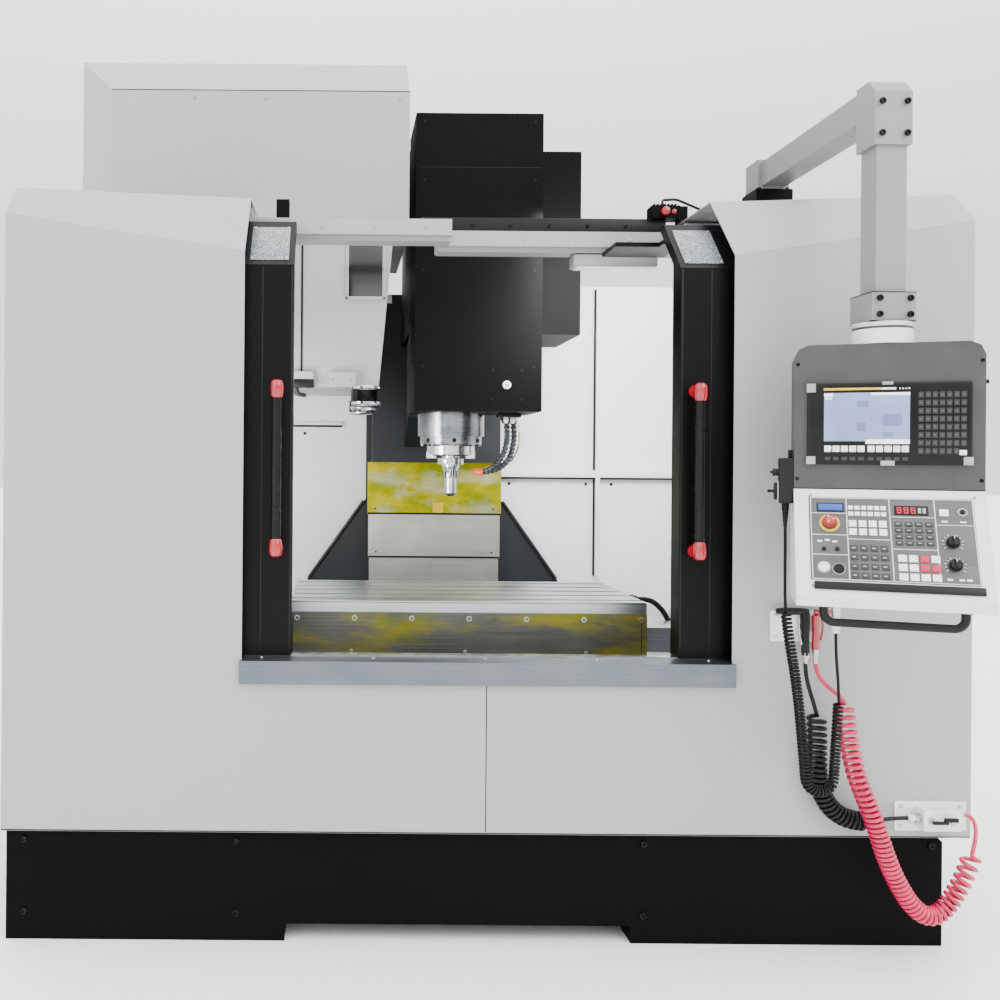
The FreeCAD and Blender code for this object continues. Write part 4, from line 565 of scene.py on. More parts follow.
class PendantSettings(bpy.types.PropertyGroup):
    """Sizes of the controls on the pendant."""

    key_round: bpy.props.FloatProperty(name="Key rounding", description="Edge radius of the keys",
                                       unit="LENGTH",
                                       subtype="DISTANCE", default=0.0012, min=0.0003, max=0.002)
    knob: bpy.props.FloatProperty(name="Knob radius", description="Radius of the rotary knobs", unit="LENGTH",
                                  subtype="DISTANCE", default=0.013, min=0.008, max=0.013)
    stop: bpy.props.FloatProperty(name="Stop radius", description="Radius of the stop button", unit="LENGTH",
                                  subtype="DISTANCE", default=0.014, min=0.01, max=0.014)


class StageSettings(bpy.types.PropertyGroup):
    """The studio around the machine."""

    key_power: bpy.props.FloatProperty(name="Key light", description="Power of the large soft light",
                                       unit="POWER",
                                       default=140, min=0)
    fill_power: bpy.props.FloatProperty(name="Fill light", description="Power of the second soft light",
                                        unit="POWER", default=50, min=0)
    room: bpy.props.FloatProperty(name="Room light", description="Strength of the pale surroundings",
                                  default=1.8, min=0)


# ---------------------------------------------------------------- operators
class MACHINE_OT_stage(bpy.types.Operator):
    """Lays the pale floor and sets the lights and the camera"""

    bl_idname = "machine.stage"
    bl_label = "Stage"

    def execute(self, context):
        settings = context.scene.machine_stage
        ground = bmesh.new()
        bmesh.ops.create_grid(ground, x_segments=1, y_segments=1, size=40)
        bmesh.ops.translate(ground, vec=(0, 0, -0.0005), verts=ground.verts)
        mesh = bpy.data.meshes.new("floor")
        ground.to_mesh(mesh)
        ground.free()
        mesh.materials.append(FINISH["floor"])
        floor = bpy.data.objects.new("floor", mesh)
        context.scene.collection.objects.link(floor)
        for name, at, aim, size, power in (
                ("key_light", (3.4, -4.6, 4.4), (0.1, -0.8, 1.1), 2.6, settings.key_power),
                ("fill_light", (-3.6, -4.6, 2.6), (-0.3, -0.8, 1.2), 3.4, settings.fill_power),
                ("chamber_light", (0.5, -0.6, 1.78), (0.45, 0.3, 1.1), 0.5, settings.fill_power * 0.5),
                ("corner_light", (-0.82, -0.9, 1.2), (-0.75, 0.39, 1.05), 0.45, settings.fill_power * 0.3)):
            light = bpy.data.lights.new(name, "AREA")
            light.energy, light.size = power, size
            holder = bpy.data.objects.new(name, light)
            holder.location = at
            holder.rotation_euler = (Vector(aim) - Vector(at)).to_track_quat("-Z", "Y").to_euler()
            context.scene.collection.objects.link(holder)
        world = bpy.data.worlds.new("pale room")
        world.use_nodes = True
        tree = world.node_tree
        height = add(tree, "ShaderNodeSeparateXYZ", {0: add(tree, "ShaderNodeTexCoord").outputs["Generated"]})
        add(tree, "ShaderNodeMapRange", {"Value": height.outputs["Z"], "From Min": 0.2, "From Max": 0.9,
                                         "To Min": settings.room, "To Max": settings.room * 2.5},
            tree.nodes["Background"].inputs["Strength"])
        tree.nodes["Background"].inputs["Color"].default_value = (1.0, 1.0, 1.0, 1.0)
        context.scene.world = world
        lens = bpy.data.cameras.new("camera")
        lens.lens, lens.sensor_width = 37.26, 36
        lens.shift_x, lens.shift_y = 0.1639, -0.0383
        lens.clip_end = 200
        camera = bpy.data.objects.new("camera", lens)
        camera.location = (-0.377, -3.661, 1.2)
        camera.rotation_euler = (math.radians(90), -0.008, 0)
        context.scene.collection.objects.link(camera)
        context.scene.camera = camera
        return {"FINISHED"}


class MACHINE_OT_hoses(bpy.types.Operator):
    """Winds the handset cord, the water hose and the air hose"""

    bl_idname = "machine.hoses"
    bl_label = "Hoses and cords"

    def execute(self, context):
        settings = context.scene.machine_hoses
        water, air, cord = settings.air, settings.air, settings.cord
        coil = coiled(smooth_run(BLACK_COIL), settings.black_coil - water / 2 - 0.0006,
                      [(0, 17), (0.3, 14), (0.55, 11.5), (1, 11.5)])
        black = hose("water_hose", BLACK_UPPER + coil + BLACK_LOWER, water, "hose_black", "frame",
                     ("black_hose", "black_coil"))
        coil = coiled(smooth_run(RED_COIL), settings.air_coil - air / 2 - 0.0006,
                      [(0, 19), (0.12, 17), (0.3, 15), (0.45, 12), (0.55, 11), (0.75, 11), (0.85, 15),
                       (1, 24)])
        red = hose("air_hose", RED_UPPER + coil + RED_LOWER, air, "hose_red", "frame",
                   ("red_hose", "red_coil"))
        start, end = PENDANT @ Vector((-201, -30, 1057)), PENDANT @ Vector((-89.5, 13, 813))
        first = [start] + [start + Vector(step) / 1000 for step in
                           ((0.6, -0.4, -42), (0.2, -0.2, -86), (0.8, 0, -128), (0.9, 0.3, -162))]
        last = [Vector((0.7895, -1.266, 0.692)), end + Vector((0.003, -0.001, -0.08)),
                end + Vector((0.0005, 0, -0.04)), end]
        coil = coiled(smooth_run(CURL), 0.013 - cord / 2 - 0.0003,
                      [(0, 9.5), (0.2, 8.2), (0.8, 8.2), (1, 9.5)], 12)
        curl = hose("handset_cord", first + coil + last, cord, "cord_black", "pendant",
                    ("mpg_cord", "mpg_curl"))
        return {"FINISHED"}


class MACHINE_OT_finishes(bpy.types.Operator):
    """Gives every carried-over part of the frame its finish"""

    bl_idname = "machine.finishes"
    bl_label = "Part finishes"

    def execute(self, context):
        groups = {
            "casework": ("left_cover", "right_cover", "header_beams", "magazine_guard", "electrical_cabinet",
                         "rear_door", "magazine_cover"),
            "arm": ("pendant_arm",),
            "chamber": ("chamber_liner",),
            "plinth": ("base_frame", "foot_blocks", "coolant_tank"),
            "door": ("left_door", "right_door"),
            "black": ("head_cover", "head_side_box", "roof_fittings"),
            "casting": ("machine_bed", "column", "saddle", "head_casting"),
            "sill": ("sill",), "guard": ("saddle_guard",), "table": ("table",),
            "stainless": ("chip_tray", "table_covers"),
            "way_cover": ("z_cover_1",), "way_steel": ("z_cover_2", "z_cover_3"),
            "turned": ("spindle_housing", "magazine_disc"),
            "ground": ("guide_rails", "tool_spindle"), "oxide": ("atc_arm",),
            "pane": ("left_door_window", "right_door_window"),
            "plastic": ("pendant_handle", "mpg_case"),
            "pendant": ("pendant_case",), "console": ("pendant_console",),
            "key_white": ("push_white",), "bezel": ("push_black",),
            "white_plastic": ("hose_brackets",),
        }
        for key, names in groups.items():
            for name in names:
                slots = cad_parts[name].data.materials
                slots.clear()
                slots.append(FINISH[key])
        return {"FINISHED"}


class MACHINE_OT_doors(bpy.types.Operator):
    """Adds the door handles, window seals, light panes and edge trims"""

    bl_idname = "machine.doors"
    bl_label = "Door fittings"

    def execute(self, context):
        settings = context.scene.machine_handles
        bar, cap, long = settings.bar * 1000, settings.cap * 1000, settings.cap_length * 1000
        for side, sign in (("left", -1), ("right", 1)):
            low, high = box_mm(side + "_handle")
            x, y = (low.x + high.x) / 2, low.y + 17
            grip = bmesh.new()
            put(grip, turned([(0, low.z + 30), (bar, low.z + 34), (bar, high.z - 34), (0, high.z - 30)]),
                MM @ place(x, y, 0), 0)
            for up, flip in ((low.z, 1), (high.z, -1)):
                bead = turned([(0, 0), (cap * 0.42, 0.6), (cap * 0.78, 4), (cap * 0.97, 11), (cap, 20),
                               (cap * 0.98, long * 0.62), (cap * 0.9, long * 0.86), (bar * 0.96, long - 1),
                               (bar * 0.9, long), (0, long)], 40)
                put(grip, bead, MM @ place(x, y, up, "z" if flip > 0 else "down"), 1)
                at = up + flip * 20
                foot = turned([(0, 0), (cap * 0.62, 0), (cap * 0.66, 12), (cap * 0.8, 30), (cap * 0.98, 39.6),
                               (0, 39.6)], 32)
                put(grip, foot, MM @ place(x, y, at, "back"), 1)
            finish_piece(side + "_grip", grip, side + "_door", ("bezel", "gloss_red"), (side + "_handle",))

            low, high = box_mm(side + "_door_window")
            front = box_mm(side + "_door")[0].y
            seal = bmesh.new()
            for a, b in (((low.x + 8, low.z + 8), (high.x - 8, low.z + 22)),
                         ((low.x + 8, high.z - 22), (high.x - 8, high.z - 8)),
                         ((low.x + 8, low.z + 8), (low.x + 22, high.z - 8)),
                         ((high.x - 22, low.z + 8), (high.x - 8, high.z - 8))):
                put(seal, block((a[0], front - 3, a[1]), (b[0], front + 3, b[1]), 1.4), MM, 0)
            for x in (low.x + 4, (low.x + high.x) / 2, high.x - 4):
                for z in (low.z - 4, high.z + 4):
                    put(seal, screw(5, 3), MM @ place(x, front - 0.2, z, "front"), 1)
            low, high = box_mm(side + "_door")
            inner = sign * 487
            trims = [(inner + sign * 2, inner + sign * 6), (inner + sign * 76, inner + sign * 79)]
            for a, b in trims:
                a, b = sorted((a, b))
                put(seal, block((a, front - 1.2, low.z + 6), (b, front + 1, 1690), 0.5), MM, 2)
            finish_piece(side + "_window_seal", seal, side + "_door", ("rubber", "oxide", "plastic"))

            slope = bmesh.new()
            a, b = sorted((inner + sign * 14, inner + sign * 112))
            put(slope, block((a, 18, 0), (b, 168, 2.2), 0.8),
                MM @ Matrix.Translation((0, -1058, 1695)) @ Matrix.Rotation(math.radians(45), 4, "X"), 0)
            for x in (a + 6, b - 6):
                for along in (24, 162):
                    put(slope, screw(4, 2.4), MM @ Matrix.Translation((0, -1058, 1695))
                        @ Matrix.Rotation(math.radians(45), 4, "X") @ Matrix.Translation((x, along, 2)), 1)
            finish_piece(side + "_light_pane", slope, side + "_door", ("hammered", "zinc"))
        return {"FINISHED"}


def case_screws():
    """Screws, seams and seals of the covers, plinth and header."""
    trim = bmesh.new()
    for x in (-1150, -620, 400, 1120):
        for z in (70, 250):
            put(trim, screw(9, 5), MM @ place(x, -1070, z, "front"), 1)
    for x in (-560, -280, 0, 280, 560):
        put(trim, screw(5, 2.6), MM @ place(x, -1070, 708, "z"), 0)
    put(trim, block((-1.2, -1100.6, 286), (1.2, -1099, 650), 0.3), MM, 2)
    put(trim, block((-1198, -1101.2, 282), (1198, -1099.5, 284.6), 0.4), MM, 2)
    for x in (-1180, 1180):
        for z in (420, 1050, 1650):
            put(trim, screw(6, 3), MM @ place(x * 1.0166, -300, z, "left" if x < 0 else "right"), 0)
    for x in (-560, -420, -280, -140):
        put(trim, screw(5, 2.6), MM @ place(x, -866, 1836, "front"), 0)
    for x in (0, 150, 300, 450):
        put(trim, screw(5, 2.6), MM @ place(x, -726, 1836, "front"), 0)
    finish_piece("case_screws", trim, "frame", ("zinc", "oxide", "rubber"))


def interlock_trim():
    """The door interlock on the header rail, its cable and its row of contacts."""
    rail = bmesh.new()
    put(rail, block((-135, -687, 1858.5), (566, -655, 1905), 2), MM, 0)
    for x in range(-100, 560, 110):
        put(rail, screw(5, 3), MM @ place(x, -687, 1882, "front"), 1)
    for index in range(7):
        put(rail, block((524 + index * 10, -708, 1941), (530 + index * 10, -645, 1944), 1), MM, 0)
    put(rail, button(12, 14), MM @ place(556, -706, 1922, "front"), 2)
    put(rail, button(7, 4), MM @ place(582, -706, 1922, "front"), 2)
    put(rail, pipe([(556, -688, 1944), (556, -676, 1962), (600, -670, 1966), (690, -640, 1940),
                    (720, -620, 1898)], 4, 12), MM, 0)
    finish_piece("interlock_trim", rail, "frame", ("plastic", "oxide", "gloss_red"))


def work_lamp():
    """The lamp under the header."""
    lamp_box = bmesh.new()
    put(lamp_box, block((300, -700, 1766), (540, -630, 1800), 4), MM, 0)
    put(lamp_box, block((310, -692, 1763), (530, -638, 1767), 1), MM, 1)
    put(lamp_box, block((400, -690, 1800), (440, -640, 1816), 1), MM, 0)
    finish_piece("work_lamp", lamp_box, "frame", ("casework", "screen_white"))


def levelling_feet():
    """Levelling screws and pads under the plinth."""
    feet = bmesh.new()
    for x in (-1100, -600, 500, 1050):
        for y in (-980, 860):
            put(feet, turned([(0, 0), (40, 0), (40, 8), (22, 14), (12, 16), (12, 43), (0, 43)], 24),
                MM @ place(x, y, 0), 0)
    finish_piece("levelling_feet", feet, "frame", ("oxide",))


class MACHINE_OT_casework(bpy.types.Operator):
    """Adds the seams, screws and seals of the casework, sill, header and plinth"""

    bl_idname = "machine.casework"
    bl_label = "Casework details"

    def execute(self, context):
        case_screws()
        interlock_trim()
        work_lamp()
        levelling_feet()
        return {"FINISHED"}


def wall_folds():
    """Folded joints of the chamber's sheets, with their shadow gaps and rivets."""
    walls = bmesh.new()
    back = 389.5
    for a, b in (((262, 1146), (634, 1158)), ((650, 1146), (1128, 1158))):
        put(walls, block((a[0], back - 26, a[1]), (b[0], back, b[1] + 14), 1.5), MM, 0)
        # The rubber-finish strips beside the folds are painted shade of the gaps.
        put(walls, block((a[0] + 4, back - 24, a[1] - 7), (b[0] - 2, back - 1, a[1]), 1), MM, 1)
    put(walls, block((634, back - 22, 760), (651, back, 1880), 1.5), MM, 0)
    put(walls, block((628, back - 8, 762), (634, back, 1140), 0.6), MM, 1)
    put(walls, block((628, back - 8, 1176), (634, back, 1880), 0.6), MM, 1)
    put(walls, block((-1128, back - 22, 1342), (-352, back, 1356), 1.5), MM, 0)
    put(walls, block((-1126, back - 20, 1335), (-354, back - 1, 1342), 1), MM, 1)
    put(walls, block((-652, back - 20, 700), (-636, back, 1335), 1.5), MM, 0)
    put(walls, block((-636, back - 8, 702), (-630, back, 1333), 0.6), MM, 1)
    for x, z in ((300, 1120), (600, 1120), (700, 1120), (1000, 1120), (-500, 1310), (-900, 1310)):
        put(walls, screw(6, 3), MM @ place(x, back, z, "front"), 2)
    finish_piece("wall_folds", walls, "frame", ("chamber", "rubber", "oxide"))


def magazine_shade_pane():
    """The near-black pane on the magazine cover's right part, painted shade there, with its frame and the
    waiting pot's bracket.
    """
    pane_piece = bmesh.new()
    x0, x1, z0, z1, y = -344, -239, 1704, 1880, -500.5
    put(pane_piece, block((x0, y - 2, z0), (x1, y + 0.4, z1), 0.6), MM, 0)
    for a, b in (((x0 - 9, z0 - 9), (x0 + 1, z1 + 2)), ((x1 - 1, z0 - 9), (x1 + 9, z1 + 2)),
                 ((x0 - 9, z0 - 9), (x1 + 9, z0 + 1))):
        put(pane_piece, block((a[0], y - 6, a[1]), (b[0], y + 0.4, b[1]), 2), MM, 1)
    for x in (x0 - 4, x1 + 4):
        put(pane_piece, screw(5, 3), MM @ place(x, y - 5.6, 1788, "front"), 3)
    put(pane_piece, block((-488, y - 3, 1470), (-482, y + 0.4, 1893), 0.6), MM, 2)
    put(pane_piece, block((-521, y - 27, 1424), (-446, y - 0.5, 1450), 3), MM, 4)
    put(pane_piece, pipe([(-500, y - 12, 1430), (-496, y - 12, 1405), (-470, y - 12, 1400)], 6, 8), MM, 4)
    for x in (-390, -332):
        put(pane_piece, screw(4, 2.4), MM @ place(x, -528, 1449, "front"), 3)
    finish_piece("magazine_shade_pane", pane_piece, "frame", ("shade_pane", "casework", "rubber", "zinc", "plastic"))


def blank_plate():
    """The bare plate on the upper way cover."""
    plate = bmesh.new()
    low = box_mm("z_cover_1")[0]
    put(plate, block((-6, low.y - 1.2, low.z + 8), (34, low.y - 0.2, low.z + 46), 0.4), MM, 0)
    finish_piece("blank_plate", plate, "cover_one", ("yellow",))


def column_flare_shade():
    """Near-black beads along the column's flares, painted shade on the flares' edges."""
    flares = bmesh.new()
    for sign in (-1, 1):
        put(flares, pipe([(sign * 268, 350, 1050), (sign * 478, 350, 752)], 7), MM, 0)
    finish_piece("column_flare_shade", flares, "frame", ("edge",))


class MACHINE_OT_chamber(bpy.types.Operator):
    """Adds the folded wall joints, the near-black pane of painted shade on the magazine cover and the
    way-cover wipers of the work chamber
    """

    bl_idname = "machine.chamber"
    bl_label = "Chamber details"

    def execute(self, context):
        wall_folds()
        magazine_shade_pane()
        for node, body in (("z_cover_1", "cover_one"), ("z_cover_2", "cover_two"),
                           ("z_cover_3", "cover_three")):
            low, high = box_mm(node)
            strip = bmesh.new()
            put(strip, block((low.x + 1, low.y - 1.6, low.z), (high.x - 1, low.y - 0.2, low.z + 7), 0.5), MM,
                0)
            for x in (low.x + 30, high.x - 30):
                put(strip, screw(3.5, 1.6), MM @ place(x, low.y - 0.1, low.z + 22, "front"), 1)
            finish_piece(node + "_wiper", strip, body, ("rubber", "oxide"))
        blank_plate()
        column_flare_shade()
        return {"FINISHED"}


def guard_screws():
    """Screws and end seams of the front guard."""
    low, high = box_mm("saddle_guard")
    bolts = bmesh.new()
    for index in range(7):
        put(bolts, screw(8.6, 3.6), MM @ place((index - 3) * 161, low.y + 3.2, high.z - 16, "front"), 0)
    for x in (-330, -10, 330):
        put(bolts, screw(6, 3), MM @ place(x, low.y + 3.1, low.z + 18, "front"), 0)
    put(bolts, block((low.x + 1, low.y + 1.8, low.z + 2), (low.x + 5, low.y + 3.4, high.z - 2), 0.5), MM, 1)
    put(bolts, block((high.x - 16, low.y + 1.8, low.z + 2), (high.x - 14, low.y + 3.4, high.z - 2), 0.5), MM,
        1)
    finish_piece("guard_screws", bolts, "saddle", ("zinc", "rubber"))


def table_slot_shade():
    """Dark strips at the mouths of the table's slots, painted shade in the slots, and a dark line along the
    front edge.
    """
    low, high = box_mm("table")
    slots = bmesh.new()
    for index in range(5):
        middle = (low.y + high.y) / 2 + (index - 2) * 100
        for x in (low.x, high.x):
            put(slots, block((x - 1.4, middle - 15, high.z - 38), (x + 1.4, middle - 12, high.z - 25), 0.5),
                MM, 0)
            put(slots, block((x - 1.4, middle + 12, high.z - 38), (x + 1.4, middle + 15, high.z - 25), 0.5),
                MM, 0)
    put(slots, block((low.x + 2, low.y - 0.8, high.z - 5), (high.x - 2, low.y + 0.2, high.z - 3.4), 0.3), MM,
        0)
    finish_piece("table_slot_shade", slots, "table", ("oxide",))


def chip_deflector():
    """The rubber deflector at the table's right end."""
    bracket = bmesh.new()
    put(bracket, pipe([(500, -600, 800), (560, -600, 800), (600, -600, 760), (624, -600, 700)], 8, 26), MM, 0)
    put(bracket, block((498, -622, 786), (512, -578, 812), 2), MM, 0)
    finish_piece("chip_deflector", bracket, "table", ("plastic",))


class MACHINE_OT_table(bpy.types.Operator):
    """Adds the screws and seams of the guard, dark strips of painted shade at the table's slots, a dark line
    along its front edge, and the deflector at its end
    """

    bl_idname = "machine.table"
    bl_label = "Table details"

    def execute(self, context):
        guard_screws()
        table_slot_shade()
        chip_deflector()
        return {"FINISHED"}


def head_fittings():
    """Eyelet, screws, seam and louvres of the head's covers."""
    low, high = box_mm("head_cover")
    face = bmesh.new()
    put(face, ring(7, 13, 5, 36), MM @ place(152, low.y, 1443, "front"), 0)
    put(face, button(7, 2), MM @ place(152, low.y, 1443, "front"), 1)
    for dx in (-45, 45):
        for dz in (-45, 45):
            put(face, screw(5.5, 3), MM @ place(152 + dx, low.y, 1443 + dz, "front"), 2)
    put(face, block((low.x + 3, low.y - 0.6, 2118), (high.x - 3, low.y + 0.3, 2120.4), 0.3), MM, 3)
    for x in (low.x + 25, high.x - 25):
        for z in (1500, 1800, 2080, 2260):
            put(face, screw(4.5, 2.4), MM @ place(x, low.y, z, "front"), 3)
    box_low, box_high = box_mm("head_side_box")
    for index in range(12):
        z = 1760 + index * 26
        put(face, block((box_high.x - 0.4, box_low.y + 60, z), (box_high.x + 3, box_high.y - 60, z + 9), 1.4),
            MM, 3)
    finish_piece("head_fittings", face, "head", ("white_plastic", "zinc", "oxide", "rubber"))


def nose_rings():
    """Rings and bolts round the spindle nose."""
    nose = bmesh.new()
    put(nose, ring(96, 108.9, 10, 64), MM @ place(0, SPINDLE_Y, 1288), 0)
    put(nose, ring(100, 108.8, 5, 64), MM @ place(0, SPINDLE_Y, 1352), 0)
    for index in range(12):
        angle = math.radians(index * 30 + 15)
        put(nose, screw(6, 5), MM @ place(88 * math.cos(angle), SPINDLE_Y + 88 * math.sin(angle), 1260,
                                          "down"), 1)
    for index in range(3):
        angle = math.radians(-90 + (index - 1) * 52)
        put(nose, button(7, 4), MM @ place(100 * math.cos(angle), SPINDLE_Y + 100 * math.sin(angle), 1272,
                                           "front"), 1)
    finish_piece("nose_rings", nose, "head", ("turned", "oxide"))


def tool_holder():
    """Drive ring, holder, collet nut and tool."""
    holder = bmesh.new()
    put(holder, turned([(0, 1222), (60, 1222), (66, 1226), (66, 1230), (0, 1230)], 48),
        MM @ place(0, SPINDLE_Y, 0), 0)
    put(holder, turned([(0, 1194), (43.2, 1194), (44, 1197), (44, 1200), (39, 1203), (39, 1206), (44, 1209),
                        (44, 1213), (43, 1215), (0, 1215)], 48), MM @ place(0, SPINDLE_Y, 0), 0)
    put(holder, turned([(0, 1150), (21, 1150), (24, 1153), (24, 1176), (29, 1188), (0, 1188)], 40),
        MM @ place(0, SPINDLE_Y, 0), 0)
    put(holder, turned([(0, 1090), (9, 1090), (19.5, 1100), (20, 1150), (0, 1152)], 32),
        MM @ place(0, SPINDLE_Y, 0), 0)
    for index in range(8):
        put(holder, block((19, -2.6, 1154), (25.4, 2.6, 1174), 1.2),
            MM @ place(0, SPINDLE_Y, 0, "z", index * 45), 1)
    for x in (-67, 67):
        put(holder, block((x - 13, -264, 1213), (x + 13, -236, 1240), 2.5), MM, 0)
    put(holder, block((-9, -318, 1232), (9, -300, 1250), 2), MM, 1)
    finish_piece("tool_holder", holder, "spindle", ("ground", "oxide"))


def coolant_joints():
    """Jointed coolant lines, their nozzles, collar and lubricant pipe."""
    lines = bmesh.new()
    front = -288
    for offset, (dx, dy) in enumerate(((0, 0), (26, 20))):
        points = metres([(173 + dx, front + dy, 1358), (181 + dx, front + dy, 1310),
                         (178 + dx, front + dy, 1262), (166 + dx, front + dy, 1222 - offset * 8),
                         (144 + dx * 0.8, front + dy, 1192 - offset * 6),
                         (122 + dx * 0.6, front + dy, 1176 - offset * 2),
                         (100 + offset * 4, front + dy * 0.7, 1168 + offset * 4)])
        run = smooth_run(points)
        travelled, last = 0.0, run[0]
        for at, ahead in zip(run[1:], run[2:]):
            travelled += (at - last).length
            last = at
            if travelled >= 0.0125:
                travelled = 0.0
                bead = turned([(0, -7), (6.5, -7), (9.6, -3.4), (10.4, 1), (9, 4.6), (7, 6.4), (0, 6.4)], 20)
                turn = (ahead - at).to_track_quat("Z", "Y").to_matrix().to_4x4()
                put(lines, bead, Matrix.Translation(at) @ turn @ MM, offset)
    for offset, (x, y, z) in enumerate(((86, front, 1167), (92, front + 14, 1172))):
        tip = turned([(0, 0), (10.5, 0), (11, 6), (9, 16), (6, 26), (3.4, 32), (0, 32)], 24)
        put(lines, tip, MM @ place(x + 12, y, z, "left") @ Matrix.Rotation(0.1, 4, "Y"), 2)
    put(lines, block((149, front - 16, 1349), (223, front + 40, 1361), 2), MM, 3)
    for dx, dy in ((0, 0), (26, 20)):
        put(lines, turned([(0, -16), (12, -16), (13, -8), (15, -6), (15, 6), (0, 6)], 6),
            MM @ place(173 + dx, front + dy, 1345), 4)
    put(lines, pipe([(206, front + 16, 1356), (222, front + 14, 1310), (220, front + 14, 1250),
                     (196, front + 10, 1205)], 2.6, 20), MM, 4)
    finish_piece("coolant_joints", lines, "head", ("segment", "segment", "nozzle", "plastic", "brass"),
                 ("coolant_lines",))


class MACHINE_OT_head(bpy.types.Operator):
    """Adds the eyelet, nose bolts, spindle grooves and jointed coolant lines of the head"""

    bl_idname = "machine.head"
    bl_label = "Head details"

    def execute(self, context):
        head_fittings()
        nose_rings()
        tool_holder()
        coolant_joints()
        return {"FINISHED"}


def arm_fittings():
    """Gripper rings, keys, hub and bolts of the change arm."""
    arm = bmesh.new()
    for y in (-660, -60):
        put(arm, ring(31, 43.6, 8, 40), MM @ place(ARM_X, y, 1411), 0)
        put(arm, ring(31, 43.6, 8, 40), MM @ place(ARM_X, y, 1373, "down"), 0)
        put(arm, button(9, 6), MM @ place(ARM_X + 24, y + 36, 1411), 1)
        for dz in (0, 26):
            put(arm, screw(5, 4), MM @ place(ARM_X - 20 + dz, y - 30, 1411), 1)
    put(arm, turned([(0, 1364), (38, 1364), (43, 1370), (43, 1376), (0, 1376)], 40),
        MM @ place(ARM_X, ARM_Y, 0), 0)
    for index in range(6):
        angle = math.radians(index * 60)
        put(arm, screw(5, 4), MM @ place(ARM_X + 28 * math.cos(angle), ARM_Y + 28 * math.sin(angle), 1365,
                                         "down"),
            1)
    finish_piece("arm_fittings", arm, "changer_arm", ("ground", "oxide"))


def pot_collars():
    """Collars and faces of the magazine's tool pots."""
    pots = bmesh.new()
    high = box_mm("magazine_disc")[1]
    for index in range(12):
        angle = math.radians(index * 30)
        y, z = -180 + 181 * math.cos(angle), 2145 + 181 * math.sin(angle)
        put(pots, ring(24, 35, 6, 24), MM @ place(high.x - 1, y, z, "right"), 0)
        put(pots, button(22, 2), MM @ place(high.x - 2, y, z, "right"), 1)
    finish_piece("pot_collars", pots, "magazine", ("plastic", "ground"))


def guard_fixings():
    """Screws and seam of the magazine guard."""
    guard = bmesh.new()
    for x in (-1040, -820, -600, -380, -190):
        put(guard, screw(6, 3), MM @ place(x, -500, 2310, "front"), 0)
        put(guard, screw(6, 3), MM @ place(x, -500, 1925, "front"), 0)
    put(guard, block((-1070, -501, 2331), (-160, -499.4, 2333.6), 0.4), MM, 1)
    finish_piece("guard_fixings", guard, "frame", ("zinc", "rubber"))


class MACHINE_OT_changer(bpy.types.Operator):
    """Adds the grippers' jaws, hub cap and pot collars of the tool changer"""

    bl_idname = "machine.changer"
    bl_label = "Tool changer details"

    def execute(self, context):
        arm_fittings()
        pot_collars()
        guard_fixings()
        return {"FINISHED"}


def control_unit(rounding):
    """The control unit: bezel, screen fields, soft keys, keypad and corner caps."""
    unit = bmesh.new()

    def front(part, finish):
        """Places a shape drawn with X across, Y up and Z out on the unit's front."""
        put(unit, part, PENDANT @ Matrix.Translation((-158.5, -60, 1203))
            @ Matrix.Rotation(math.pi / 2, 4, "X"), finish)

    front(block((0, 0, -0.4), (325, 182, 10), 3, 3), 0)
    front(block((4, 4, 9.6), (321, 178, 10.4), 0.4), 1)
    front(block((33, 50, 10.2), (207, 161, 11.2), 0.6), 1)
    front(block((34, 52, 10.6), (205, 160, 11.6), 0.3), 2)
    for a, b, key in (((34, 152, 11.5), (52, 159.4, 11.9), 3), ((128, 154, 11.5), (205, 159.6, 11.9), 3),
                      ((36, 146, 11.5), (50, 149.6, 11.9), 3), ((118, 46, 10.8), (205, 56, 11.9), 3),
                      ((100, 74, 11.5), (118, 94, 11.8), 4), ((152, 86, 11.5), (190, 112, 11.8), 4),
                      ((100, 128, 11.5), (124, 142, 11.8), 4), ((152, 60, 11.5), (172, 72, 11.8), 4)):
        front(block(a, b, 0.2, 1), key)
    front(block((33, 166, 10.2), (150, 171, 11.2), 0.6), 5)
    front(block((150, 166, 10.2), (178, 171, 11.0), 0.6), 6)
    for index in range(4):
        front(block((184 + index * 6, 166.5, 10.2), (187 + index * 6, 170, 11.0), 0.5, 1), 6)
    for index in range(10):
        x = 35 + index * 16.8 + (3 if index > 4 else 0)
        front(block((x, 28, 10.2), (x + 14.2, 42, 12.2), rounding), 7)
        front(block((x + 1, 9, 10.2), (x + 13, 17, 11.4), 0.8, 1), 8)
    for column in range(7):
        for row in range(8):
            x, y = 221 + column * 13.6, 24 + row * 17.6
            if column == 6 and row == 0:
                continue
            front(block((x, y, 10.2), (x + 11, y + 13, 11.8), 0.9, 1), 8)
            front(block((x + 3.4, y + 5.4, 11.7), (x + 7.4, y + 7.8, 12), 0.2, 1), 11)
    front(block((300, 22, 10.2), (314, 33, 12.2), rounding), 7)
    for a, b in (((-2, 162), (17, 182)), ((-2, 0), (17, 18)), ((308, 0), (327, 18)), ((150, 177), (172, 184)),
                 ((148, -2), (176, 9))):
        front(block((a[0], a[1], 8), (b[0], b[1], 12.6), 1.4), 10)
    finish_piece("control_unit", unit, "pendant",
                 ("plastic", "bezel", "screen", "screen_white", "screen_dark", "yellow", "legend",
                  "key_white",
                  "key_dark", "legend", "tab", "panel"), ("cnc_unit",))


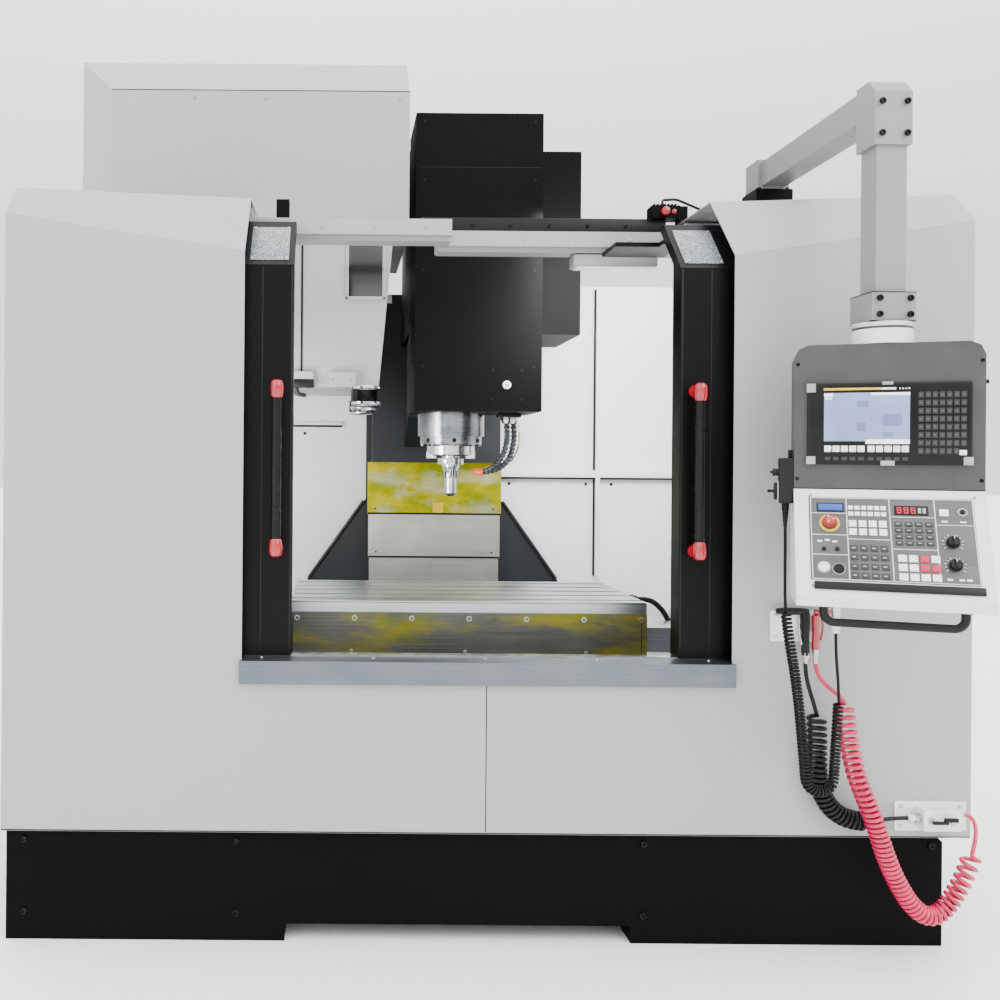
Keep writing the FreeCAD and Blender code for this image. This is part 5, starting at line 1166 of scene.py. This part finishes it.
def console_panel(rounding, stop):
    """The console's panel: pads, keys, displays, switches, lines and dial marks."""
    panel = bmesh.new()

    def on_face(part, finish):
        put(panel, part, FACE, finish)

    on_face(block((29.6, 38, -0.4), (64, 240, 0.8), 0.3), 0)
    on_face(block((64, 38, -0.4), (352, 84, 0.8), 0.3), 0)
    on_face(block((64, 190, -0.4), (352, 240, 0.8), 0.3), 0)
    on_face(block((64, 84, -0.4), (352, 190, 0.8), 0.3), 0)
    on_face(block((36, 16, -0.4), (358, 34, 6), 2), 1)
    for x in (106, 191, 278):
        on_face(block((x - 0.9, 40, 0.6), (x + 0.9, 238, 1.2), 0.2, 1), 2)
    for a, b in (((33, 40), (351, 41.6)), ((33, 237), (351, 238.6)), ((33, 40), (34.6, 238)),
                 ((349.4, 40), (351, 238)), ((33, 199), (106, 200.4)), ((33, 146), (106, 147.4)),
                 ((33, 98), (106, 99.4)), ((106, 137), (191, 138.4)), ((191, 193), (278, 194.4)),
                 ((191, 116), (278, 117.4)), ((278, 176), (351, 177.4))):
        on_face(block((*a, 0.6), (*b, 1.2), 0.2, 1), 2)
    on_face(block((46, 203, 0.6), (101, 225, 2), 1), 1)
    on_face(block((49, 206, 1.6), (98, 222, 2.6), 0.4), 3)
    on_face(block((200, 198, 0.6), (266, 221, 2), 1), 1)
    on_face(block((202, 200, 1.6), (264, 219, 2.4), 0.4), 1)
    for index in range(3):
        for inset in range(2):
            x = 205 + index * 13.5 + inset * 0.1
            on_face(block((x, 202, 2.2), (x + 2.2, 217, 2.8), 0.3, 1), 4)
            on_face(block((x + 7, 202, 2.2), (x + 9.2, 217, 2.8), 0.3, 1), 4)
            on_face(block((x, 202 + inset * 7, 2.2), (x + 9, 204.2 + inset * 7, 2.8), 0.3, 1), 4)
        on_face(block((205 + index * 13.5, 215, 2.2), (214 + index * 13.5, 217, 2.8), 0.3, 1), 4)
    for x in (246, 255):
        on_face(block((x, 203, 2.2), (x + 6, 216, 2.8), 0.4, 1), 5)
    rows = (("small", 109, 194, 6, 2, 12.9, 15, 10.5, 10, 6),
            ("white", 109, 147, 4, 2, 19.8, 20, 15.5, 16, 6),
            ("axis", 110, 44, 4, 4, 19.7, 21.5, 15, 14, 7), ("mode", 199, 126, 4, 4, 19.7, 15, 15, 10.5, 7),
            ("run", 201, 44, 4, 3, 20.8, 21.5, 17, 16.5, 6))
    for tag, first, up, columns, lines, pitch, rise, wide, tall, key in rows:
        for i in range(columns):
            for j in range(lines):
                x, y = first + i * pitch, up + j * rise
                shade = 8 if tag == "run" and ((j == 2 and i == 2) or (j == 1 and i >= 2)) else key
                on_face(block((x, y, 0.6), (x + wide, y + tall, 3), rounding), shade)
                if key == 7:
                    on_face(block((x + 3, y + tall * 0.42, 2.9), (x + wide - 5, y + tall * 0.62, 3.2), 0.1,
                                  1), 5)
    for x, y in ((45, 128), (60, 131), (75, 128)):
        on_face(block((x, y, 0.6), (x + 10, y + 5, 1.4), 0.4, 1), 2)
    for x, y in ((58, 112), (84, 112)):
        put(panel, button(4.6, 5), FACE @ Matrix.Translation((x, y, 0.4)), 1)
    on_face(block((286, 198, 0.6), (304, 214, 3), rounding), 6)
    put(panel, ring(5, 10, 2, 28), FACE @ Matrix.Translation((330, 208, 0.6)), 5)
    put(panel, button(5, 6), FACE @ Matrix.Translation((330, 208, 0.6)), 1)
    on_face(block((324, 183, 0.6), (336, 187, 1.2), 0.3, 1), 2)
    on_face(block((289, 183, 0.6), (301, 187, 1.2), 0.3, 1), 2)
    for middle in ((307, 135), (307.6, 82)):
        for index in range(11):
            angle = math.radians(-125 + index * 25)
            mark = block((-0.7, 17, 0.6), (0.7, 21.5 if index % 2 == 0 else 19.5, 1.2), 0.2, 1)
            put(panel, mark, FACE @ Matrix.Translation((*middle, 0)) @ Matrix.Rotation(angle, 4, "Z"), 2)
    for x in (290, 312, 326):
        on_face(block((x, 48, 0.6), (x + 10, 53, 1.2), 0.3, 1), 2)
    put(panel, ring(stop + 1.2, 21, 3, 48), FACE @ Matrix.Translation((70.9, 174.7, 0)), 9)
    put(panel, ring(11.8, 14.5, 3.4, 40), FACE @ Matrix.Translation((56.4, 67.4, 0)), 5)
    put(panel, ring(10.8, 13.4, 3.4, 40), FACE @ Matrix.Translation((85.8, 65.0, 0)), 5)
    for x in (34, 356):
        for y in (24, 244):
            put(panel, screw(3.4, 2), FACE @ Matrix.Translation((x, y, 0)), 5)
    finish_piece("console_panel", panel, "pendant",
                 ("panel", "plastic", "legend", "display_blue", "display_red", "tab", "key_white", "key_dark",
                  "key_red", "yellow"), ("console_keys",))


def stop_button(stop):
    """The stop button's head, stem and turning marks."""
    mushroom = bmesh.new()
    put(mushroom, turned([(0, -7.8), (stop - 4, -7.8), (stop - 4, 6), (stop, 9), (stop, 15), (stop - 1.5, 20),
                          (stop - 5, 23.6), (0, 25)], 40), FACE @ Matrix.Translation((70.9, 174.7, 0)), 0)
    for index in range(3):
        put(mushroom, block((4, -0.8, 24.0), (9.6, 0.8, 24.9), 0.3, 1), FACE
            @ Matrix.Translation((70.9, 174.7, 0)) @ Matrix.Rotation(index * math.tau / 3, 4, "Z"), 1)
    finish_piece("stop_button", mushroom, "e_stop", ("stop_red", "legend"), ("e_stop_button",))


def pendant_trim():
    """Screws, side port, collar rings and vents of the pendant's case."""
    trims = bmesh.new()
    local = PENDANT @ place(0, 0, 0)
    for dx in (-178, 186):
        for z in (1170, 1430):
            put(trims, screw(4, 2.4), PENDANT @ place(dx, -60, z, "front"), 0)
    put(trims, block((194, -40, 1395), (197, 20, 1440), 1), local, 1)
    put(trims, button(5, 8), PENDANT @ place(193, -46, 1385, "right"), 1)
    put(trims, block((-185.6, -60.8, 1146.4), (193.6, -58, 1149.2), 0.5), local, 1)
    put(trims, ring(56, 64, 6, 48), PENDANT @ place(0, 0, 1474), 2)
    put(trims, ring(56, 62.6, 39, 48), PENDANT @ place(0, 0, 1479.5), 2)
    put(trims, ring(56, 63, 5, 48), PENDANT @ place(0, 0, 1518), 2)
    for x in (-120, -60, 0, 60, 120):
        put(trims, block((x - 18, 59.4, 1200), (x + 18, 61.4, 1206), 1), local, 1)
        put(trims, block((x - 18, 59.4, 1220), (x + 18, 61.4, 1226), 1), local, 1)
    for x in (-129, 140):
        put(trims, ring(9.4, 15, 4, 32), PENDANT @ place(x, -160, 897, "down"), 1)
    finish_piece("pendant_trim", trims, "pendant", ("oxide", "plastic", "console"))


def arm_bolts():
    """Clamp plates and bolts of the pendant's arm."""
    arm = bmesh.new()
    for z in (1588, 1524):
        put(arm, block((862 - 50, -1309 - 50, z - 1), (862 + 50, -1309 + 50, z + 1), 0.6), MM, 0)
    for dx in (-28, 28):
        for z in (1943, 2014):
            put(arm, screw(7.4, 5), MM @ place(862 + dx, -1355.6, z, "front"), 1)
    for dx in (-34, 34):
        for z in (1538, 1574):
            put(arm, screw(7.4, 5), MM @ place(862 + dx, -1362.6, z, "front"), 1)
    for dx in (-40, 40):
        for dy in (-40, 40):
            put(arm, screw(7, 5), MM @ place(862 + dx, -670 + dy, 1986), 1)
    finish_piece("arm_bolts", arm, "pendant_arm", ("rubber", "oxide"))


class MACHINE_OT_pendant(bpy.types.Operator):
    """Builds the control unit, its screen and the console's keys, knobs and buttons"""

    bl_idname = "machine.pendant"
    bl_label = "Pendant"

    def execute(self, context):
        settings = context.scene.machine_pendant
        rounding, knob, stop = settings.key_round * 1000, settings.knob * 1000, settings.stop * 1000
        control_unit(rounding)
        console_panel(rounding, stop)
        stop_button(stop)
        for name, node, middle in (("knob_top", "knob_upper", (307, 135)),
                                   ("knob_bottom", "knob_lower", (307.6, 82))):
            dial = bmesh.new()
            where = FACE @ Matrix.Translation((*middle, 0.5))
            put(dial, turned([(0, 0), (knob, 0), (knob, 3), (knob - 1.6, 4.5), (knob - 2, 13),
                              (knob - 3.2, 14.5),
                              (0, 14.5)], 36), where, 0)
            for index in range(18):
                put(dial, block((knob - 2.6, -0.8, 4.6), (knob - 0.9, 0.8, 13), 0.3, 1),
                    where @ Matrix.Rotation(index * math.tau / 18, 4, "Z"), 0)
            put(dial, block((-2.6, -10.4, 13.8), (2.6, 10.4, 19), 1.2), where, 0)
            put(dial, block((-0.6, 3, 18.9), (0.6, 10, 19.3), 0.1, 1), where, 1)
            finish_piece(name, dial, node, ("plastic", "legend"), (node,))
        pendant_trim()
        arm_bolts()
        return {"FINISHED"}


def hand_wheel():
    """The handwheel with its grip ribs and peg."""
    wheel = bmesh.new()
    centre = PENDANT @ place(HANDSET_LEFT - 0.4, -30, 1140, "left")
    put(wheel, turned([(0, 0), (17, 0), (19.8, 1.2), (20, 6), (19, 8.4), (15, 9), (14, 7), (0, 7)], 48),
        centre, 0)
    for index in range(24):
        put(wheel, block((19, -0.8, 1.6), (20.2, 0.8, 6.6), 0.2, 1),
            centre @ Matrix.Rotation(index * math.tau / 24, 4, "Z"), 0)
    put(wheel, turned([(0, 6), (4, 6), (3.2, 12), (4, 20), (2.6, 22), (0, 22)], 20),
        centre @ Matrix.Translation((0, 13, 0)), 1)
    finish_piece("hand_wheel", wheel, "mpg_wheel", ("plastic", "bezel"), ("mpg_wheel",))


def handset_body():
    """The handset's case, dial ring, selector and cord relief."""
    body = bmesh.new()
    put(body, block((-217, -63, 1113), (-185, 3, 1217), 4, 3), PENDANT @ place(0, 0, 0), 0)
    put(body, ring(21.5, 25, 1.6, 48), PENDANT @ place(HANDSET_LEFT, -30, 1140, "left"), 1)
    put(body, button(8.5, 12), PENDANT @ place(HANDSET_LEFT, -30, 1184, "left"), 0)
    put(body, block((-3, -8, 11), (3, 8, 17), 1), PENDANT @ place(HANDSET_LEFT, -30, 1184, "left"), 0)
    for index in range(7):
        mark = block((-0.5, 11, 0), (0.5, 14.5, 0.6), 0.1, 1)
        put(body, mark, PENDANT @ place(HANDSET_LEFT, -30, 1184, "left")
            @ Matrix.Rotation(math.radians(-75 + index * 25), 4, "Z"), 1)
    put(body, turned([(0, 1057), (3.9, 1057), (4.6, 1070), (5.6, 1071), (5.2, 1078), (6.2, 1079), (5.8, 1086),
                      (6.8, 1087), (6.4, 1094), (7.4, 1095), (8.5, 1114), (0, 1114)], 28),
        PENDANT @ place(-201, -30, 0), 2)
    put(body, block((-196, -40, 1214), (-187, -20, 1236), 2), PENDANT @ place(0, 0, 0), 2)
    finish_piece("handset_body", body, "pendant", ("plastic", "legend", "rubber"), ("mpg_case",))


def console_plug():
    """Plug of the handset's cord under the console."""
    gland = bmesh.new()
    put(gland, turned([(0, 813), (4.2, 813), (6, 818), (8.6, 822), (9, 846), (7.6, 849), (0, 849)], 28),
        PENDANT @ place(-89.5, 13, 0), 0)
    put(gland, turned([(0, 849), (9.6, 849), (10, 852), (10, 884), (11.5, 886), (11.5, 897), (0, 897)], 28),
        PENDANT @ place(-89.5, 13, 0), 1)
    finish_piece("console_plug", gland, "pendant", ("rubber", "brass"))


class MACHINE_OT_handset(bpy.types.Operator):
    """Adds the handwheel, selector and relief of the hand pulse generator"""

    bl_idname = "machine.handset"
    bl_label = "Handset"

    def execute(self, context):
        hand_wheel()
        handset_body()
        console_plug()
        return {"FINISHED"}


def spray_guns():
    """The water gun and the air gun."""
    guns = bmesh.new()
    put(guns, turned([(0, 735), (9.5, 735), (10, 740), (9.2, 780), (10.6, 836), (8, 842), (0, 842)], 28),
        MM @ place(775, GUN_Y, 0), 0)
    put(guns, turned([(0, 716), (6.6, 716), (7, 718), (7, 730), (10.5, 731), (10.5, 742), (0, 742)], 6),
        MM @ place(775, GUN_Y, 0), 1)
    put(guns, turned([(0, 0), (6, 0), (7, 3), (8.6, 20), (8.8, 60), (7, 78), (0, 80)], 28),
        MM @ place(782, GUN_Y, 843, "left"), 0)
    put(guns, block((760, GUN_Y - 5, 800), (766, GUN_Y + 5, 846), 2), MM, 0)
    put(guns, pipe([(764, GUN_Y, 846), (758, GUN_Y, 800), (766, GUN_Y, 762)], 3.4, 14), MM, 1)
    put(guns, turned([(0, 750), (9, 750), (9.8, 756), (8.4, 800), (9.6, 832), (0, 840)], 28),
        MM @ place(800, GUN_Y, 0), 2)
    put(guns, turned([(0, 716), (5.6, 716), (6, 718), (6, 738), (8.4, 739), (8.4, 752), (0, 752)], 20),
        MM @ place(800, GUN_Y, 0), 1)
    put(guns, turned([(0, 0), (6, 0), (7, 4), (7, 36), (4, 44), (0, 44)], 24),
        MM @ place(796, GUN_Y, 842, "right"), 2)
    put(guns, pipe([(812, GUN_Y, 840), (819, GUN_Y, 806), (812, GUN_Y, 772)], 3, 14), MM, 2)
    finish_piece("spray_guns", guns, "frame", ("plastic", "brass", "gloss_red"), ("wash_guns",))


def hose_fixings():
    """Screws, unions and taps of the gun plate and the manifold."""
    fixings = bmesh.new()
    for x in (712, 808):
        for z in (776, 830):
            put(fixings, screw(5, 3), MM @ place(x, -1104, z, "front"), 0)
    for x in (1024, 1172):
        for z in (312, 360):
            put(fixings, screw(5, 3), MM @ place(x, -1104, z, "front"), 0)
    put(fixings, turned([(0, 0), (8, 0), (9.5, 2), (9.5, 16), (11.5, 17), (11.5, 30), (0, 30)], 6),
        MM @ place(1030, -1124, 338, "right"), 1)
    put(fixings, turned([(0, 0), (6.8, 0), (8, 2), (8, 12), (0, 12)], 6),
        MM @ place(1150, -1130, 350, "right"), 1)
    put(fixings, button(8, 14), MM @ place(1078, -1144, 338, "front"), 1)
    put(fixings, block((1072, -1164, 334), (1110, -1156, 342), 2), MM, 2)
    put(fixings, button(8, 14), MM @ place(1128, -1144, 338, "front"), 1)
    put(fixings, block((1100, -1164, 340), (1134, -1156, 350), 2), MM, 2)
    finish_piece("hose_fixings", fixings, "frame", ("zinc", "brass", "plastic"))


class MACHINE_OT_guns(bpy.types.Operator):
    """Builds the water and air guns and the fittings of their hoses"""

    bl_idname = "machine.guns"
    bl_label = "Wash guns"

    def execute(self, context):
        spray_guns()
        hose_fixings()
        return {"FINISHED"}


def cabinet_vents():
    """Louvres, fan guard, lock and edge seals of the cabinet's door."""
    leaf = box_mm("rear_door")[0].y + 22
    vents = bmesh.new()
    for bank in (480, 1640):
        for index in range(9):
            z = bank + index * 16
            put(vents, block((-150, leaf - 0.4, z), (150, leaf + 4, z + 7), 1.4), MM, 1)
    put(vents, ring(62, 74, 5, 48), MM @ place(260, leaf, 1500, "back"), 1)
    for radius in (20, 34, 48):
        put(vents, ring(radius, radius + 3, 3, 36), MM @ place(260, leaf, 1500, "back"), 2)
    for turn in (0, 60, 120):
        put(vents, block((-66, -1.5, 0), (66, 1.5, 3), 0.5, 1), MM @ place(260, leaf, 1500, "back", turn), 2)
    put(vents, turned([(0, 0), (25, 0), (26, 3), (24, 6), (0, 6)], 32), MM @ place(-400, leaf, 1050, "back"),
        1)
    put(vents, block((-446, leaf - 0.2, 330), (-442, leaf + 1, 1840), 0.4), MM, 1)
    put(vents, block((442, leaf - 0.2, 330), (446, leaf + 1, 1840), 0.4), MM, 1)
    finish_piece("cabinet_vents", vents, "rear_door", ("casework", "plastic", "zinc"))


def cabinet_hinges():
    """Hinges, side louvres, lifting eyes and cable glands of the cabinet."""
    hinges = bmesh.new()
    for z in (420, 1060, 1720):
        put(hinges, turned([(0, z - 40), (7, z - 40), (8, z - 37), (8, z + 37), (7, z + 40), (0, z + 40)],
                           20),
            MM @ place(459, 1219, 0), 0)
        put(hinges, block((450, 1186, z - 36), (453, 1227, z + 36), 0.8), MM, 0)
        put(hinges, screw(4, 2.4), MM @ place(453, 1200, z - 20, "right"), 1)
        put(hinges, screw(4, 2.4), MM @ place(453, 1200, z + 20, "right"), 1)
    for x in (-449.4, 449.4):
        for index in range(10):
            z = 700 + index * 18
            side = "left" if x < 0 else "right"
            put(hinges, block((-60, -3.5, 0), (60, 3.5, 3.4), 1.2), MM @ place(x, 1080, z, side, 90), 2)
    for x in (-320, 320):
        put(hinges, turned([(0, 0), (26, 0), (26, 5), (14, 7), (14, 12), (0, 12)], 28),
            MM @ place(x, 1080, 1850), 1)
        put(hinges, ring(13, 24, 8, 36), MM @ place(x, 1080, 1876, "front"), 1)
    put(hinges, block((-60, 1100, 320 - 26), (60, 1180, 321), 3), MM, 2)
    for x in (-40, -13, 13, 40):
        put(hinges, turned([(0, -44), (7, -44), (10, -30), (12, -26), (12, 0), (0, 0)], 20),
            MM @ place(x, 1140, 296), 2)
    finish_piece("cabinet_hinges", hinges, "frame", ("zinc", "oxide", "plastic"))


def pump_fittings():
    """Flange, fins, terminal box and pipe of the pump, and screws of the tank."""
    pump = bmesh.new()
    x = -1265
    put(pump, turned([(0, 350), (58, 350), (60, 353), (60, 360), (53, 362), (53, 380), (0, 380)], 40),
        MM @ place(x, 560, 0), 0)
    for index in range(24):
        put(pump, block((50, -1.4, 386), (56.5, 1.4, 548), 0.5, 1),
            MM @ place(x, 560, 0, "z", index * 15), 0)
    put(pump, ring(38, 54, 8, 40), MM @ place(x, 560, 553), 0)
    put(pump, block((x - 36, 500, 430), (x + 36, 512, 500), 4), MM, 1)
    put(pump, pipe([(x, 500, 380), (x, 440, 380), (x, 440, 356)], 13, 24, 3), MM, 2)
    for y in (-470, -210, 0, 250, 420, 680):
        put(pump, screw(6, 4), MM @ place(-1318, y, 350), 2)
        put(pump, screw(6, 4), MM @ place(-1212, y, 350), 2)
    put(pump, block((-1331, -120, 120), (-1329.6, -90, 300), 0.5), MM, 2)
    put(pump, pipe([(-1300, 300, 352), (-1300, 330, 352)], 8), MM, 1)
    finish_piece("pump_fittings", pump, "frame", ("casting", "plastic", "zinc"))


class MACHINE_OT_rear(bpy.types.Operator):
    """Adds the cabinet's vents, hinges and lock and the coolant tank's pump fittings"""

    bl_idname = "machine.rear"
    bl_label = "Rear units"

    def execute(self, context):
        cabinet_vents()
        cabinet_hinges()
        pump_fittings()
        return {"FINISHED"}


class MACHINE_PT_panel(bpy.types.Panel):
    """Lists the machine's settings and its pieces"""

    bl_idname = "MACHINE_PT_panel"
    bl_label = "CNC machining center"
    bl_space_type = "VIEW_3D"
    bl_region_type = "UI"
    bl_category = "Machine"

    def draw(self, context):
        for name, kind in SETTINGS.items():
            group = getattr(context.scene, name)
            box = self.layout.box()
            for key in kind.__annotations__:
                box.prop(group, key)
        for kind in OPERATORS:
            self.layout.operator(kind.bl_idname)


SETTINGS = {"machine_casework": CaseworkSettings, "machine_handles": HandleSettings,
            "machine_hoses": HoseSettings,
            "machine_pendant": PendantSettings, "machine_stage": StageSettings}
OPERATORS = (MACHINE_OT_stage, MACHINE_OT_hoses, MACHINE_OT_finishes, MACHINE_OT_doors, MACHINE_OT_casework,
             MACHINE_OT_chamber, MACHINE_OT_table, MACHINE_OT_head, MACHINE_OT_changer, MACHINE_OT_pendant,
             MACHINE_OT_handset, MACHINE_OT_guns, MACHINE_OT_rear)


def register():
    for kind in (*SETTINGS.values(), *OPERATORS, MACHINE_PT_panel):
        bpy.utils.register_class(kind)
    for name, kind in SETTINGS.items():
        setattr(bpy.types.Scene, name, bpy.props.PointerProperty(type=kind))


def unregister():
    for name in SETTINGS:
        delattr(bpy.types.Scene, name)
    for kind in (MACHINE_PT_panel, *reversed(OPERATORS), *reversed(list(SETTINGS.values()))):
        bpy.utils.unregister_class(kind)


def main():
    register()
    mix_finishes(bpy.context.scene.machine_casework)
    for kind in OPERATORS:
        group, name = kind.bl_idname.split(".")
        getattr(getattr(bpy.ops, group), name)()


if __name__ == "__main__":
    main()
